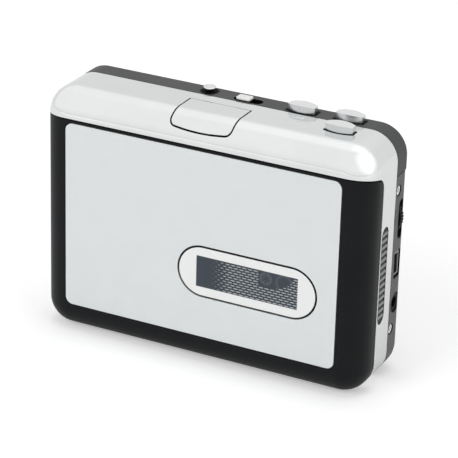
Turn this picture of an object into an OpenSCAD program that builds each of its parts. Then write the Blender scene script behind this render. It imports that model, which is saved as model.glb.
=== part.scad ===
// Pocket cassette player with a USB socket: a chrome frame, a swinging black door and a grey rear shell
// round a belt driven tape mechanism. X runs to the right, Y to the back and Z up, with the base at Z 0.

/* [Case] */
// Width of the case
body_w = 114; // [112:0.5:118]
// Height of the case
body_h = 82.8; // [82:0.2:86]
// Depth of the case from door to back
body_d = 32; // [32:0.5:36]
// Radius of the case's corners seen from the front
corner_r = 9.2; // [8:0.2:12]
// Radius of the front edge
front_r = 8.5; // [7:0.5:9]
// Radius of the back edge
back_r = 6.2; // [5:0.1:6.4]
// Thickness of the case walls
wall = 2; // [1.6:0.1:2.2]
// Gap at the line between two shells
shell_gap = 0.3; // [0.2:0.05:0.5]
// Depth of the chrome frame's rear edge behind the front
frame_depth = 20.4; // [20:0.2:21.6]
// Height of the control strip, from the top down
strip_h = 14; // [12.6:0.1:17.2]
// Depth of the control strip from front to back
strip_d = 7; // [6.8:0.1:8]

/* [Door] */
// Depth of the door's rear edge behind the front
door_depth = 10.4; // [10.2:0.1:11]
// Height of the chrome bar above the door
bar_h = 9.1; // [8:0.1:9.5]
// Radius of the door's upper rear corner seen from the side
door_corner_r = 4.2; // [2:0.1:5]
// Fall of the door's upper edge towards the rear, in degrees
door_slope = 10; // [4:1:14]
// Gap around the door
door_gap = 0.4; // [0.3:0.05:0.6]
// Width of the black border beside the face plate
plate_side = 9.25; // [8.5:0.25:11.5]
// Height of the black border above the face plate
plate_above = 1; // [0.8:0.1:2]
// Height of the case's front below the face plate
plate_below = 9.7; // [9:0.1:12]
// Corner radius of the face plate
plate_r = 2.5; // [1:0.25:4]
// Thickness of the face plate
plate_t = 0.6; // [0.4:0.1:0.9]
// Gap around the face plate
plate_gap = 0.25; // [0.15:0.05:0.4]
// Length of the pill shaped window
window_w = 48.5; // [40:0.5:54]
// Height of the pill shaped window
window_h = 17.75; // [12:0.25:18]
// Sideways place of the window's centre
window_x = 17.1; // [5:0.1:19]
// Height of the window's centre
window_z = 32.4; // [28:0.1:45]
// Gap around the window
window_gap = 0.4; // [0.25:0.05:0.6]
// Thickness of the window lens
lens_t = 1.2; // [0.8:0.1:1.4]
// Thickness of the printed film behind the lens
film_t = 0.3; // [0.2:0.05:0.4]
// Distance of the hinge behind the front
hinge_depth = 8.6; // [8.4:0.1:8.8]
// Radius of the hinge barrels
barrel_r = 1.6; // [1.5:0.05:1.7]
// Radius of the hinge pins
hinge_pin_r = 0.8; // [0.6:0.05:0.9]
// Height of the hinge above the base
hinge_z = 1.9; // [1.9:0.05:2]

/* [Top controls] */
// Height of the push buttons above the top
button_rise = 2.5; // [2:0.1:3.2]
// Length of the push buttons
button_l = 9.1; // [8.5:0.1:9.8]
// Width of the push buttons
button_w = 4.6; // [4:0.1:5]
// Width of a push button at its straight ends
button_end = 2.4; // [2:0.1:3]
// Gap round a push button
button_gap = 0.3; // [0.2:0.05:0.4]
// Travel of a push button
button_travel = 1.8; // [1.2:0.1:2]
// Travel of the direction button
direction_travel = 0.9; // [0.5:0.1:1]
// Travel of the slide switch
switch_travel = 2.6; // [2:0.1:2.8]
// Radius of a button stem
stem_r = 1.2; // [1:0.05:1.4]
// Length of the release tab's lower edge
tab_w = 20.6; // [20:0.2:26]
// Sideways place of the release tab's centre
tab_x = -1.2; // [-4:0.1:0]
// Height of the release tab's face below the top
tab_h = 4.3; // [3.5:0.1:4.5]
// Gap round the release tab
tab_gap = 0.55; // [0.3:0.05:0.6]
// Gap behind the release tab, where its rear edge rolls back
tab_rear_gap = 0.4; // [0.35:0.05:0.6]
// Bow of the release tab's lower edge
tab_bow = 0.8; // [0.4:0.1:1.2]
// Radius of the release tab's pin
tab_pin_r = 0.6; // [0.5:0.05:0.7]
// Top radius of the direction button
direction_r = 2; // [1.6:0.1:2.4]
// Radius of the dished ring round the direction button
bezel_r = 3.15; // [2.8:0.05:3.4]
// Width of the switch slot
slot_w = 3.6; // [3.4:0.1:4]
// Length of the switch knob
knob_l = 4.8; // [4:0.1:5]

/* [Side controls] */
// Radius of the volume wheel
volume_r = 8; // [7:0.1:8.2]
// Thickness of the volume wheel
volume_t = 2.4; // [2:0.1:2.6]
// Height of the volume wheel's axis
volume_z = 53.3; // [51:0.1:54]
// How far the volume wheel stands out of the side
volume_rise = 0.5; // [0.3:0.1:0.7]
// Width of the USB socket
usb_w = 7.7; // [7:0.1:8]
// Height of the USB socket's centre
usb_z = 38.2; // [37:0.1:39]
// Bore radius of the headphone jack
jack_bore_r = 1.8; // [1.75:0.05:1.9]
// Outer radius of the headphone jack's ring
jack_r = 3.1; // [2.8:0.05:3.3]
// Height of the headphone jack's axis
jack_z = 24.8; // [24:0.1:25]
// Radius of the side screws' heads
screw_head_r = 1.5; // [1.3:0.05:1.6]
// Radius of the screws' threads
screw_r = 0.85; // [0.7:0.05:0.95]
// Height of the lower side screws
screw_low_z = 16.3; // [15:0.1:17]
// Height of the upper side screws
screw_high_z = 63.7; // [63:0.1:64.4]
// Number of ribs on a side grip
rib_count = 14; // [8:1:15]
// Spacing of the ribs
rib_pitch = 2.15; // [2:0.05:2.2]
// Depth of the grip recess
grip_depth = 0.9; // [0.7:0.1:1.1]

/* [Mechanism] */
// Depth of the deck's rear face behind the front
deck_depth = 16; // [15.8:0.1:16.2]
// Thickness of the deck
deck_t = 1.2; // [1:0.1:1.4]
// Thickness of the chassis plate
chassis_t = 1; // [0.8:0.1:1.2]
// Height of the cassette's seat above the base
seat_z = 3.6; // [3.2:0.1:4]
// Distance of the reel spindles from the centre line
reel_x = 21.25; // [21:0.05:21.5]
// Distance of the capstans from the centre line
capstan_x = 32; // [31.6:0.1:32.2]
// Radius of the capstans
capstan_r = 1; // [0.8:0.05:1.2]
// Radius of the flywheels
flywheel_r = 13; // [12.6:0.1:13.2]
// Tooth size of the gears, as pitch diameter over tooth count
gear_module = 0.6; // [0.59:0.005:0.605]
// Teeth on the flywheel's pinion
pinion_teeth = 13; // [13:1:13]
// Teeth on the idler gear
idler_teeth = 28; // [28:1:29]
// Teeth on the reel gear
reel_teeth = 34; // [34:1:34]
// Radius of the motor
motor_r = 9.5; // [8.5:0.25:9.6]
// Radius of the motor's pulley
pulley_r = 3; // [2.5:0.1:3.4]
// Thickness of the drive belt
belt_t = 0.8; // [0.6:0.1:1]
// Travel of the head carriage
head_travel = 4.8; // [4:0.1:4.8]
// Radius of the pinch rollers
roller_r = 4; // [3.6:0.1:4]
// Radius of a battery cell
cell_r = 6.95; // [6.8:0.05:6.95]
// Length of a battery cell
cell_l = 50; // [49.5:0.1:50.2]

/* [Hidden] */
$fn = 64;

// Clearances that several pieces share
running = 0.05;
sliding = 0.3;
eps = 1;

// Levels from front to back
front_y = -body_d / 2;
back_y = body_d / 2;
side_x = body_w / 2;
frame_y = front_y + frame_depth;
door_y = front_y + door_depth;
door_in_y = front_y + wall;
rear_in_y = back_y - wall;
shell_y = frame_y + shell_gap;
deck_back_y = front_y + deck_depth;
deck_front_y = deck_back_y - deck_t;
chassis_y = deck_back_y + chassis_t;
layer_gap = 0.4;
gear_y = chassis_y + layer_gap;
gear_t = 1.4;
wheel_y = gear_y + gear_t + layer_gap;
wheel_t = 2.2;
pcb_y = wheel_y + wheel_t + layer_gap;
pcb_t = 1;
pcb_back_y = pcb_y + pcb_t;
port_y = pcb_back_y + 2.1;

// Heights
top_in_z = body_h - wall;
strip_z = body_h - strip_h;
door_top = body_h - bar_h;
tab_z = body_h - tab_h;
plate_w = body_w - 2 * plate_side;
plate_h = door_top - plate_above - plate_below;
plate_z = plate_below + plate_h / 2;
bar_z = door_top + door_gap / cos(door_slope);
lip_t = 1.5;
lip_back_y = front_y + wall + 0.9;
hub_z = seat_z + 28.6;
cassette_top = seat_z + 63.8;
capstan_z = cassette_top - 6.6;
roller_z = capstan_z + capstan_r + roller_r + head_travel + sliding;
shelf_z = 19;
shelf_t = 1.2;
bracket_z = top_in_z - 10.5;
bracket_t = 1.2;

// Tape drive
capstan_tip_y = deck_back_y - 10.5;
roller_y0 = capstan_tip_y - 0.1;
roller_y1 = roller_y0 + 6;
head_top = roller_z + 2.9;
slide_pin_r = 1;
slide_pin_x = 24;
slide_pin_z = roller_z - 0.4;
bush_r = 2.4;
reel_shaft_r = 2;
reel_hole_r = 6.4;
crown_x = 28;
crown_h = 9.6;
ear_inner = 1.9;
ear_outer = 4.7;

// Door hinge and sill
hinge_y = front_y + hinge_depth;
sill_y = door_y + 0.9;
sill_z = 5;
door_bottom = 0.3;
arm_x0 = 38.3;
arm_x1 = 44;
barrel_x0 = 30;
barrel_x1 = arm_x0 - sliding;

// Cassette guides on the door
guide_x = 50.6;
guide_t = 1.2;
guide_y = door_in_y + 1.2;

// Release tab pivot and hook
tab_back_y = deck_back_y - 0.4;
tab_r = 1.8;
tab_pin_y = tab_back_y - 0.8;
tab_pin_z = top_in_z - 1.1;
tab_barrel_r = 1.5;
tab_x0 = tab_x - tab_w / 2;
tab_x1 = tab_x + tab_w / 2;
hook_x = tab_x;
hook_w = 4;
hook_y0 = door_in_y + 1.7;
hook_y1 = hook_y0 + 1.5;

// Places of the top controls
strip_mid_y = shell_y + strip_d / 2;
play_at = [40, deck_back_y - 1.5];
stop_at = [39, strip_mid_y - 0.1];
wind_at = [23.3, strip_mid_y - 0.7];
direction_at = [-9.4, strip_mid_y - 0.1];
switch_at = [4.7, strip_mid_y - 1];
slot_end = 1.2;
slot_l = knob_l + switch_travel + 2 * slot_end;
knob_rest_x = switch_at[0] - slot_l / 2 + slot_end + knob_l / 2;
cap_crown_r = 30;
flange_z = top_in_z - sliding - 1;
flange_edge = 0.8;
stem_z = bracket_z - 0.6;
spring_z0 = bracket_z + bracket_t;
spring_wire_r = 0.25;
spring_r = stem_r + 0.7;

// Places of the side controls
screw_zs = [screw_low_z, screw_high_z];
screw_y = shell_y + 2;
tab_in_x = side_x - wall - 1.9;
grip_y0 = deck_back_y - 4.8;
grip_y1 = grip_y0 + 5.2;
grip_z0 = 21.8;
grip_z1 = grip_z0 + rib_count * rib_pitch + 2.9;
volume_y = pcb_back_y + 1.5;
volume_x = side_x + volume_rise - volume_r;

// Chassis fixing pads
pad_zs = [26, 48];
pad_x = side_x - wall - 1.3;
pad_w = 2.5;
pad_h = 5;

// Gear train from the right flywheel to the right reel
pinion_pitch_r = pinion_teeth * gear_module / 2;
idler_pitch_r = idler_teeth * gear_module / 2;
reel_pitch_r = reel_teeth * gear_module / 2;
flywheel_at = [capstan_x, capstan_z];
reel_at = [reel_x, hub_z];
function bearing(a, b) = atan2(b[1] - a[1], b[0] - a[0]);
train_l = norm(reel_at - flywheel_at);
arm_a = pinion_pitch_r + idler_pitch_r;
arm_b = idler_pitch_r + reel_pitch_r;
train_angle = acos((arm_a * arm_a + train_l * train_l - arm_b * arm_b) / (2 * arm_a * train_l));
idler_dir = bearing(flywheel_at, reel_at) + train_angle;
idler_at = flywheel_at + arm_a * [cos(idler_dir), sin(idler_dir)];
// A tooth of one gear faces a gap of the next along the line of centres
function next_phase(dir, phase, teeth, next_teeth) =
  dir + 180 - (0.5 - (dir - phase) * teeth / 360) * 360 / next_teeth;
idler_phase = next_phase(idler_dir, 0, pinion_teeth, idler_teeth);
reel_phase = next_phase(bearing(idler_at, reel_at), idler_phase, idler_teeth, reel_teeth);

// Belt path round the motor pulley and the right flywheel, with its back on the left flywheel
motor_at = [-41.4, 41];
belt_clear = 0.1;
groove_depth = 0.6;
groove_h = 1.4;
belt_h = 1;
belt_wheels = [
  [motor_at, pulley_r - groove_depth, 1],
  [flywheel_at, flywheel_r - groove_depth, 1],
  [[-capstan_x, capstan_z], flywheel_r - groove_depth, -1]
];
function belt_r(i) = belt_wheels[i][1] + belt_clear + belt_t / 2;
function wrap(a) = a - 360 * floor(a / 360);
function normal_dir(i, j) =
  let (d = belt_wheels[j][0] - belt_wheels[i][0])
  atan2(d[1], d[0]) + acos((belt_wheels[j][2] * belt_r(j) - belt_wheels[i][2] * belt_r(i)) / norm(d));
function contact_dir(i, n) = n + (belt_wheels[i][2] > 0 ? 180 : 0);
belt_steps = 24;
function polar(r, a) = r * [cos(a), sin(a)];
function belt_arc(i, side) =
  let (from = contact_dir(i, normal_dir((i + 2) % 3, i)),
       to = contact_dir(i, normal_dir(i, (i + 1) % 3)),
       turn = belt_wheels[i][2],
       sweep = turn > 0 ? wrap(to - from) : -wrap(from - to),
       r = belt_r(i) + side * turn * belt_t / 2)
  [for (k = [0:belt_steps]) belt_wheels[i][0] + polar(r, from + sweep * k / belt_steps)];
function belt_line(side) = [for (i = [0:2]) each belt_arc(i, side)];

// Circuit board
pcb_x0 = 10;
pcb_x1 = tab_in_x - 0.4;
pcb_z0 = shelf_z + 2.2;
pcb_z1 = pcb_z0 + 44.8;
pcb_posts = [[pcb_x0 + 3, pcb_z0 + 2.8], [pcb_x0 + 3, pcb_z1 - 3], [pcb_x1 - 3.2, pcb_z0 + 9.4]];

// Batteries
cell_y = deck_back_y + cell_r + running;
cell_z = 11.5;
cell_gap = 0.2;
cell_end = cell_l + cell_gap;
contact_l = 2.2;
cover_x = 49.5;
cover_z0 = 4.2;
cover_z1 = shelf_z - 0.2;
cover_t = wall - 0.3;

// Shapes that several pieces share
arc_steps = 10;
function arc(x, y, r, from, to) =
  [for (i = [0:arc_steps]) [x, y] + polar(r, from + (to - from) * i / arc_steps)];

module box(low, high) {
  translate(low) cube(high - low);
}

// Half section of a rounded edge: reach outwards, height upwards, rounded above and below
module edge_section(height, reach, above, below) {
  foot = below > 0 ? arc(reach - below, below, below, -90, 0) : [[reach, 0]];
  crown = above > 0 ? arc(reach - above, height - above, above, 0, 90) : [[reach, height]];
  polygon(concat([[0, 0]], foot, crown, [[0, height]]));
}

// Upright block with rounded corners, base on Z 0
module rounded_block(w, h, r, height, above = 0, below = 0) {
  translate([-w / 2 + r, -h / 2 + r, 0]) cube([w - 2 * r, h - 2 * r, height]);
  for (k = [0:3]) {
    at = [(k == 0 || k == 3 ? 1 : -1) * (w / 2 - r), (k < 2 ? 1 : -1) * (h / 2 - r), 0];
    translate(at) rotate([0, 0, 90 * k]) rotate_extrude(angle = 90) edge_section(height, r, above, below);
    translate(at) rotate([90, 0, 90 * k]) linear_extrude(k % 2 == 0 ? h - 2 * r : w - 2 * r)
      edge_section(height, r, above, below);
  }
}

// The same block laid with its face to the front, centred on X and on the height z
module face_block(w, h, r, y0, y1, z, front = 0, back = 0) {
  translate([0, y1, z]) rotate([90, 0, 0]) rounded_block(w, h, r, y1 - y0, front, back);
}

// Case envelope, drawn in by inset all round
module casing(inset, y0, y1, front = 0, back = 0) {
  face_block(body_w - 2 * inset, body_h - 2 * inset, corner_r - inset, y0, y1, body_h / 2, front, back);
}

// Upright block with round ends along X, base on Z 0
module stadium(l, w, height) {
  for (side = [0, 180]) rotate([0, 0, side]) {
    translate([(l - w) / 2, 0, 0]) rotate([0, 0, -90]) rotate_extrude(angle = 180)
      edge_section(height, w / 2, 0, 0);
    translate([-(l - w) / 2, 0, 0]) rotate([90, 0, 90]) linear_extrude(l - w)
      edge_section(height, w / 2, 0, 0);
  }
}

// Upright block with bowed long sides and straight ends, grown by gap, base on Z 0
module bowed_block(gap, height) {
  l = button_l + 2 * gap;
  w = button_w + 2 * gap;
  bow = (button_w - button_end) / 2;
  r = (l * l / 4 + bow * bow) / (2 * bow);
  half = asin(l / 2 / r);
  linear_extrude(height)
    polygon(concat(arc(0, w / 2 - r, r, 90 - half, 90 + half), arc(0, r - w / 2, r, 270 - half, 270 + half)));
}

// Pill with its face to the front
module face_pill(l, w, y0, y1, x, z) {
  translate([x, y1, z]) rotate([90, 0, 0]) stadium(l, w, y1 - y0);
}

module rod_x(r, x0, x1, y, z) {
  translate([x0, y, z]) rotate([0, 90, 0]) cylinder(r = r, h = x1 - x0);
}

module rod_y(r, y0, y1, x, z) {
  translate([x, y1, z]) rotate([90, 0, 0]) cylinder(r = r, h = y1 - y0);
}

// Round wire wound along Z from 0 to height
function coil_point(r, wire, height, turns, t) =
  [r * cos(360 * turns * t), r * sin(360 * turns * t), wire + (height - 2 * wire) * t];
module coil(r, wire, height, turns) {
  sides = 6;
  rings = 8 * turns;
  points = [
    for (i = [0:rings]) let (c = coil_point(r, wire, height, turns, i / rings), a = 360 * turns * i / rings)
      for (k = [0:sides - 1]) let (b = 360 * k / sides)
        c + wire * [cos(b) * cos(a), cos(b) * sin(a), sin(b)]
  ];
  skin = [
    for (i = [0:rings - 1]) for (k = [0:sides - 1])
      let (a = i * sides + k, b = i * sides + (k + 1) % sides)
        each [[a, a + sides, b + sides], [a, b + sides, b]]
  ];
  first = [for (k = [1:sides - 2]) [0, k, k + 1]];
  end = rings * sides;
  last = [for (k = [1:sides - 2]) [end, end + k + 1, end + k]];
  polyhedron(points, concat(skin, first, last));
}

// Outline drawn in X and Z, thick from y0 to y1
module upright(y0, y1) {
  translate([0, y1, 0]) rotate([90, 0, 0]) linear_extrude(y1 - y0) children();
}

// Spur gear lying in the XZ plane
module gear(teeth, phase, y0, y1) {
  pitch_r = teeth * gear_module / 2;
  root_r = pitch_r - 0.95 * gear_module;
  tip_r = pitch_r + 0.7 * gear_module;
  step = 360 / teeth;
  outline = [
    for (i = [0:teeth - 1]) each [
      for (p = [[-0.27, root_r], [-0.09, tip_r], [0.09, tip_r], [0.27, root_r]])
        p[1] * [cos(phase + (i + p[0]) * step), sin(phase + (i + p[0]) * step)]
    ]
  ];
  upright(y0, y1) polygon(outline);
}

// The door's outline seen from the side, grown by gap and taken across the whole case
module door_sweep(gap) {
  corner_y = door_y - door_corner_r;
  run = corner_y + door_corner_r * sin(door_slope) - front_y;
  corner_z = door_top - run * tan(door_slope) - door_corner_r * cos(door_slope);
  translate([-body_w, 0, 0]) rotate([90, 0, 90]) linear_extrude(2 * body_w)
    polygon(concat(
      [[front_y - eps, -eps], [door_y + gap, -eps]],
      arc(corner_y, corner_z, door_corner_r + gap, 0, 90 - door_slope),
      [[front_y - eps, door_top + gap / cos(door_slope) + eps * tan(door_slope)]]
    ));
}

// Chrome frame: top bar, side strips and sill in one shell
module front_frame() {
  color("gainsboro") difference() {
    union() {
      difference() {
        casing(0, front_y, frame_y, front_r);
        difference() {
          casing(wall, front_y + wall, frame_y + eps, front_r - wall);
          box([-side_x, front_y, bar_z], [side_x, lip_back_y, bar_z + lip_t]);
        }
        door_sweep(door_gap);
        box([-body_w, front_y - eps, -eps], [body_w, sill_y, sill_z]);
      }
      for (s = [-1, 1]) {
        hinge_arm(s);
        for (z = screw_zs) screw_tab(s, z);
        for (z = pad_zs) chassis_pad(s, z);
        tab_ear(s);
      }
    }
    tab_opening();
    translate([play_at[0], play_at[1], top_in_z - eps])
      bowed_block(button_gap, wall + 2 * eps);
    for (s = [-1, 1]) {
      grip_recess(s);
      for (z = screw_zs) side_rod(s, screw_r + running, side_x - wall - 4, side_x - wall, screw_y, z);
      side_rod(s, hinge_pin_r + running, barrel_x0, arm_x1 + eps, hinge_y, hinge_z);
      for (z = pad_zs) rod_y(screw_r, deck_back_y - 3, deck_back_y + eps, s * pad_x, z);
    }
    rod_x(tab_pin_r + running, tab_x0 - 3, tab_x1 + 3, tab_pin_y, tab_pin_z);
  }
}

module side_rod(s, r, x0, x1, y, z) {
  rod_x(r, s > 0 ? x0 : -x1, s > 0 ? x1 : -x0, y, z);
}

module side_box(s, x0, x1, y0, y1, z0, z1) {
  box([s > 0 ? x0 : -x1, y0, z0], [s > 0 ? x1 : -x0, y1, z1]);
}

module hinge_arm(s) {
  side_rod(s, barrel_r, arm_x0, arm_x1, hinge_y, hinge_z);
  side_box(s, arm_x0, arm_x1, hinge_y, sill_y + eps, hinge_z - barrel_r, hinge_z + barrel_r - 0.4);
}

module screw_tab(s, z) {
  side_box(s, tab_in_x, side_x - wall + 0.5, chassis_y + 0.4, frame_y, z - pad_w, z + pad_w);
  side_box(s, tab_in_x, side_x - wall - sliding, frame_y - eps, screw_y + pad_w, z - pad_w, z + pad_w);
}

module chassis_pad(s, z) {
  side_box(s, pad_x - pad_w / 2, side_x - wall + 0.5, deck_back_y - 3.6, deck_back_y,
    z - pad_h / 2, z + pad_h / 2);
}

// Ears beside the release tab that hold its pin
module tab_ear(s) {
  x0 = s > 0 ? tab_x1 + tab_gap : tab_x0 - tab_gap - 2;
  rod_x(tab_barrel_r, x0, x0 + 2, tab_pin_y, tab_pin_z);
  box([x0, tab_pin_y - tab_barrel_r, tab_pin_z], [x0 + 2, tab_pin_y + tab_barrel_r, top_in_z + 0.5]);
}

// Patch of the case that the release tab fills, grown by gap: its lower edge bows between round corners
module tab_patch(gap, rear_gap) {
  half = tab_w / 2;
  bow_r = (half * half + tab_bow * tab_bow) / (2 * tab_bow);
  bow_z = tab_z + bow_r;
  corner_x = half - tab_r;
  corner_z = bow_z - sqrt(pow(bow_r - tab_r, 2) - pow(corner_x, 2));
  turn = atan2(corner_z - bow_z, corner_x);
  bow = arc(0, bow_z, bow_r + gap, -180 - turn, turn);
  translate([tab_x, 0, 0]) upright(front_y - eps, tab_back_y + rear_gap)
    polygon(concat(
      [for (i = [1:len(bow) - 2]) bow[i]],
      arc(corner_x, corner_z, tab_r + gap, turn, 0),
      [[half + gap, body_h + tab_h], [-half - gap, body_h + tab_h]],
      arc(-corner_x, corner_z, tab_r + gap, 180, 180 - turn)
    ));
}

module tab_opening() {
  intersection() {
    tab_patch(tab_gap, tab_rear_gap);
    box([-side_x, front_y - 2 * eps, bar_z + lip_t], [side_x, back_y, body_h + eps]);
  }
}

module grip_recess(s) {
  w = grip_y1 - grip_y0;
  l = grip_z1 - grip_z0;
  translate([s * (side_x - grip_depth), (grip_y0 + grip_y1) / 2, (grip_z0 + grip_z1) / 2])
    rotate([0, -90 * s, 0]) rotate([0, 180, 0]) stadium(l, w, grip_depth + eps);
}

// Ribbed insert in the frame's side
module side_grip(s) {
  fit = 0.1;
  w = grip_y1 - grip_y0 - 2 * fit;
  l = grip_z1 - grip_z0 - 2 * fit;
  base_t = grip_depth - 0.5;
  mid_z = (grip_z0 + grip_z1) / 2;
  color("dimgray") {
    translate([s * (side_x - grip_depth), (grip_y0 + grip_y1) / 2, mid_z])
      rotate([0, -90 * s, 0]) rotate([0, 180, 0]) stadium(l, w, base_t);
    for (i = [0:rib_count - 1]) {
      z = mid_z + (i - (rib_count - 1) / 2) * rib_pitch;
      translate([0, grip_y1 - 0.6, z]) rotate([90, 0, 0]) linear_extrude(w - 1)
        polygon([
          [s * (side_x - 0.6), -0.7], [s * (side_x - 0.6), 0.7],
          [s * (side_x - 0.05), 0.35], [s * (side_x - 0.05), -0.35]
        ]);
    }
  }
}
module side_grip_right() { side_grip(1); }
module side_grip_left() { side_grip(-1); }

// Grey rear shell with the battery bay
module rear_shell() {
  color("dimgray") difference() {
    union() {
      difference() {
        casing(0, shell_y, back_y, 0, back_r);
        casing(wall, shell_y - eps, rear_in_y, 0, back_r - wall);
        box([-body_w, shell_y - eps, strip_z], [body_w, shell_y + strip_d + shell_gap, body_h + eps]);
      }
      box([-cover_x - 2, shell_y, shelf_z], [cover_x + 2, rear_in_y + 0.5, shelf_z + shelf_t]);
      for (x = [-32, -14, 14, 32])
        box([x - 1, shell_y + 1, wall - 0.5], [x + 1, rear_in_y - 2, cell_z - cell_r - 0.2]);
      for (at = pcb_posts) rod_y(1.9, pcb_back_y, rear_in_y + 0.5, at[0], at[1]);
      for (x = [-15, 45])
        box([x - 1, screw_y + 2, bracket_z - 2], [x + 1, rear_in_y + 0.5, bracket_z]);
    }
    // Battery opening
    face_block(2 * cover_x + 2 * sliding, cover_z1 - cover_z0 + 2 * sliding, 2 + sliding,
      rear_in_y - eps, back_y + eps, (cover_z0 + cover_z1) / 2);
    // Side openings
    translate([side_x - wall - eps, volume_y + volume_t / 2, volume_z]) rotate([90, 0, 90])
      rotate([0, 0, 90]) stadium(13, volume_t + 1.2, wall + 2 * eps);
    translate([side_x - wall - eps, port_y, usb_z]) rotate([90, 0, 90]) rotate([0, 0, 90])
      rounded_block(usb_w + 1.3, 4.9, 0.8, wall + 2 * eps);
    rod_x(jack_r + 0.15, side_x - wall - eps, side_x + eps, port_y, jack_z);
    for (s = [-1, 1]) for (z = screw_zs) {
      side_rod(s, screw_r + 0.25, side_x - wall - eps, side_x + eps, screw_y, z);
      side_rod(s, screw_head_r + 0.2, side_x - 1.2, side_x + eps, screw_y, z);
    }
    for (at = pcb_posts) rod_y(0.7, pcb_y, pcb_back_y + 4, at[0], at[1]);
  }
}

// Dark strip along the top that holds the controls
module control_panel() {
  y0 = shell_y;
  y1 = shell_y + strip_d;
  color("slategray") difference() {
    casing(0, y0, y1);
    casing(wall, y0 - eps, y1 + eps);
    box([-body_w, y0 - eps, -eps], [body_w, y1 + eps, strip_z + shell_gap]);
    for (at = [stop_at, wind_at]) translate([at[0], at[1], top_in_z - eps])
      bowed_block(button_gap, wall + 2 * eps);
    translate([switch_at[0], switch_at[1], top_in_z - eps]) stadium(slot_l, slot_w, wall + 2 * eps);
    translate([direction_at[0], direction_at[1], top_in_z - eps]) cylinder(r = bezel_r, h = wall + 2 * eps);
  }
}

// Black door with its seat for the cassette
module door_shell() {
  color("#232528") difference() {
    union() {
      difference() {
        intersection() {
          casing(0, front_y, door_y + eps, front_r);
          door_sweep(0);
        }
        casing(wall, door_in_y, door_y + 2 * eps, front_r - wall);
        box([-body_w, front_y - eps, -eps], [body_w, door_y + eps, door_bottom]);
      }
      for (s = [-1, 1]) {
        side_rod(s, barrel_r, barrel_x0, barrel_x1, hinge_y, hinge_z);
        side_box(s, 20, 24, front_y + 5.5, hinge_y, wall - 0.5, seat_z - sliding);
      }
      box([hook_x - hook_w / 2, door_in_y - 0.5, door_top - 2.4],
        [hook_x + hook_w / 2, hook_y0 - sliding, door_top]);
    }
    // Lower rear edge stays clear of the sill as the door swings
    box([-body_w, door_y - 0.3, -eps], [body_w, door_y + eps, hinge_z + 1]);
    for (s = [-1, 1]) {
      side_rod(s, barrel_r + 0.5, arm_x0 - sliding, arm_x1 + sliding, hinge_y, hinge_z);
      side_box(s, arm_x0 - sliding, arm_x1 + sliding, hinge_y, door_y + eps, -eps, hinge_z + barrel_r + 0.5);
      side_rod(s, hinge_pin_r + running, barrel_x0 - eps, barrel_x1 + eps, hinge_y, hinge_z);
    }
    face_block(plate_w + 2 * plate_gap, plate_h + 2 * plate_gap, plate_r + plate_gap,
      front_y - eps, front_y + plate_t, plate_z);
    face_pill(window_w, window_h, front_y - eps, door_in_y + eps, window_x, window_z);
  }
}

// Silver plate on the door
module door_face_plate() {
  color("#dee2e4") difference() {
    face_block(plate_w, plate_h, plate_r, front_y, front_y + plate_t, plate_z);
    face_pill(window_w, window_h, front_y - eps, front_y + plate_t + eps, window_x, window_z);
  }
}

// Pill that fills the window, less its gap
module window_pill(y0, y1) {
  face_pill(window_w - 2 * window_gap, window_h - 2 * window_gap, y0, y1, window_x, window_z);
}

// Clear lens in the door's window
module door_window() {
  color("white", 0.6) window_pill(front_y, front_y + lens_t);
}

// Printed film behind the lens
module window_screen() {
  color("#464e58") window_pill(front_y + lens_t, front_y + lens_t + film_t);
}

// Rails on the door that hold the cassette's ends
module cassette_guides() {
  color("#2c2f33") for (s = [-1, 1])
    side_box(s, guide_x, guide_x + guide_t, guide_y, deck_front_y - 1.4, corner_r + 0.2, cassette_top - 2);
}

// Leaf springs on the door that press the cassette back
module cassette_springs() {
  bow = 1.4;
  leaf_t = 0.3;
  leaf_l = 16;
  r = (leaf_l * leaf_l / 4 + bow * bow) / (2 * bow);
  half = asin(leaf_l / 2 / r);
  color("silver") for (s = [-1, 1])
    translate([s * 36 - 3, door_in_y + bow - r, 54]) rotate([90, 0, 90]) linear_extrude(6)
      polygon(concat(arc(0, 0, r + leaf_t, -half, half), arc(0, 0, r, half, -half)));
}

// Steel pins of the door hinge
module hinge_pins() {
  color("silver") for (s = [-1, 1]) side_rod(s, hinge_pin_r, barrel_x0 + 0.5, arm_x1, hinge_y, hinge_z);
}

// Chrome tab that lifts to let the door go
module release_tab() {
  color("gainsboro") difference() {
    union() {
      intersection() {
        tab_patch(0, 0);
        difference() {
          casing(0, front_y, frame_y, front_r);
          casing(wall, front_y + wall, frame_y + eps, front_r - wall);
        }
      }
      for (x = [tab_x0, tab_x1 - 2]) {
        rod_x(tab_barrel_r, x, x + 2, tab_pin_y, tab_pin_z);
        box([x, tab_pin_y - tab_barrel_r, tab_pin_z], [x + 2, tab_back_y - 0.2, top_in_z + 0.5]);
      }
      box([hook_x - hook_w / 2, hook_y0, bar_z - 0.05], [hook_x + hook_w / 2, hook_y1, top_in_z + 0.3]);
    }
    rod_x(tab_pin_r + running, tab_x0 - eps, tab_x1 + eps, tab_pin_y, tab_pin_z);
  }
}

module release_tab_pin() {
  color("silver") rod_x(tab_pin_r, tab_x0 - tab_gap - 2, tab_x1 + tab_gap + 2, tab_pin_y, tab_pin_z);
}

// Torsion spring on the tab's pin
module release_spring() {
  color("silver") translate([tab_x - 3, tab_pin_y, tab_pin_z]) rotate([0, 90, 0])
    coil(tab_pin_r + 0.1 + 0.2, 0.2, 6, 8);
}

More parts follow.
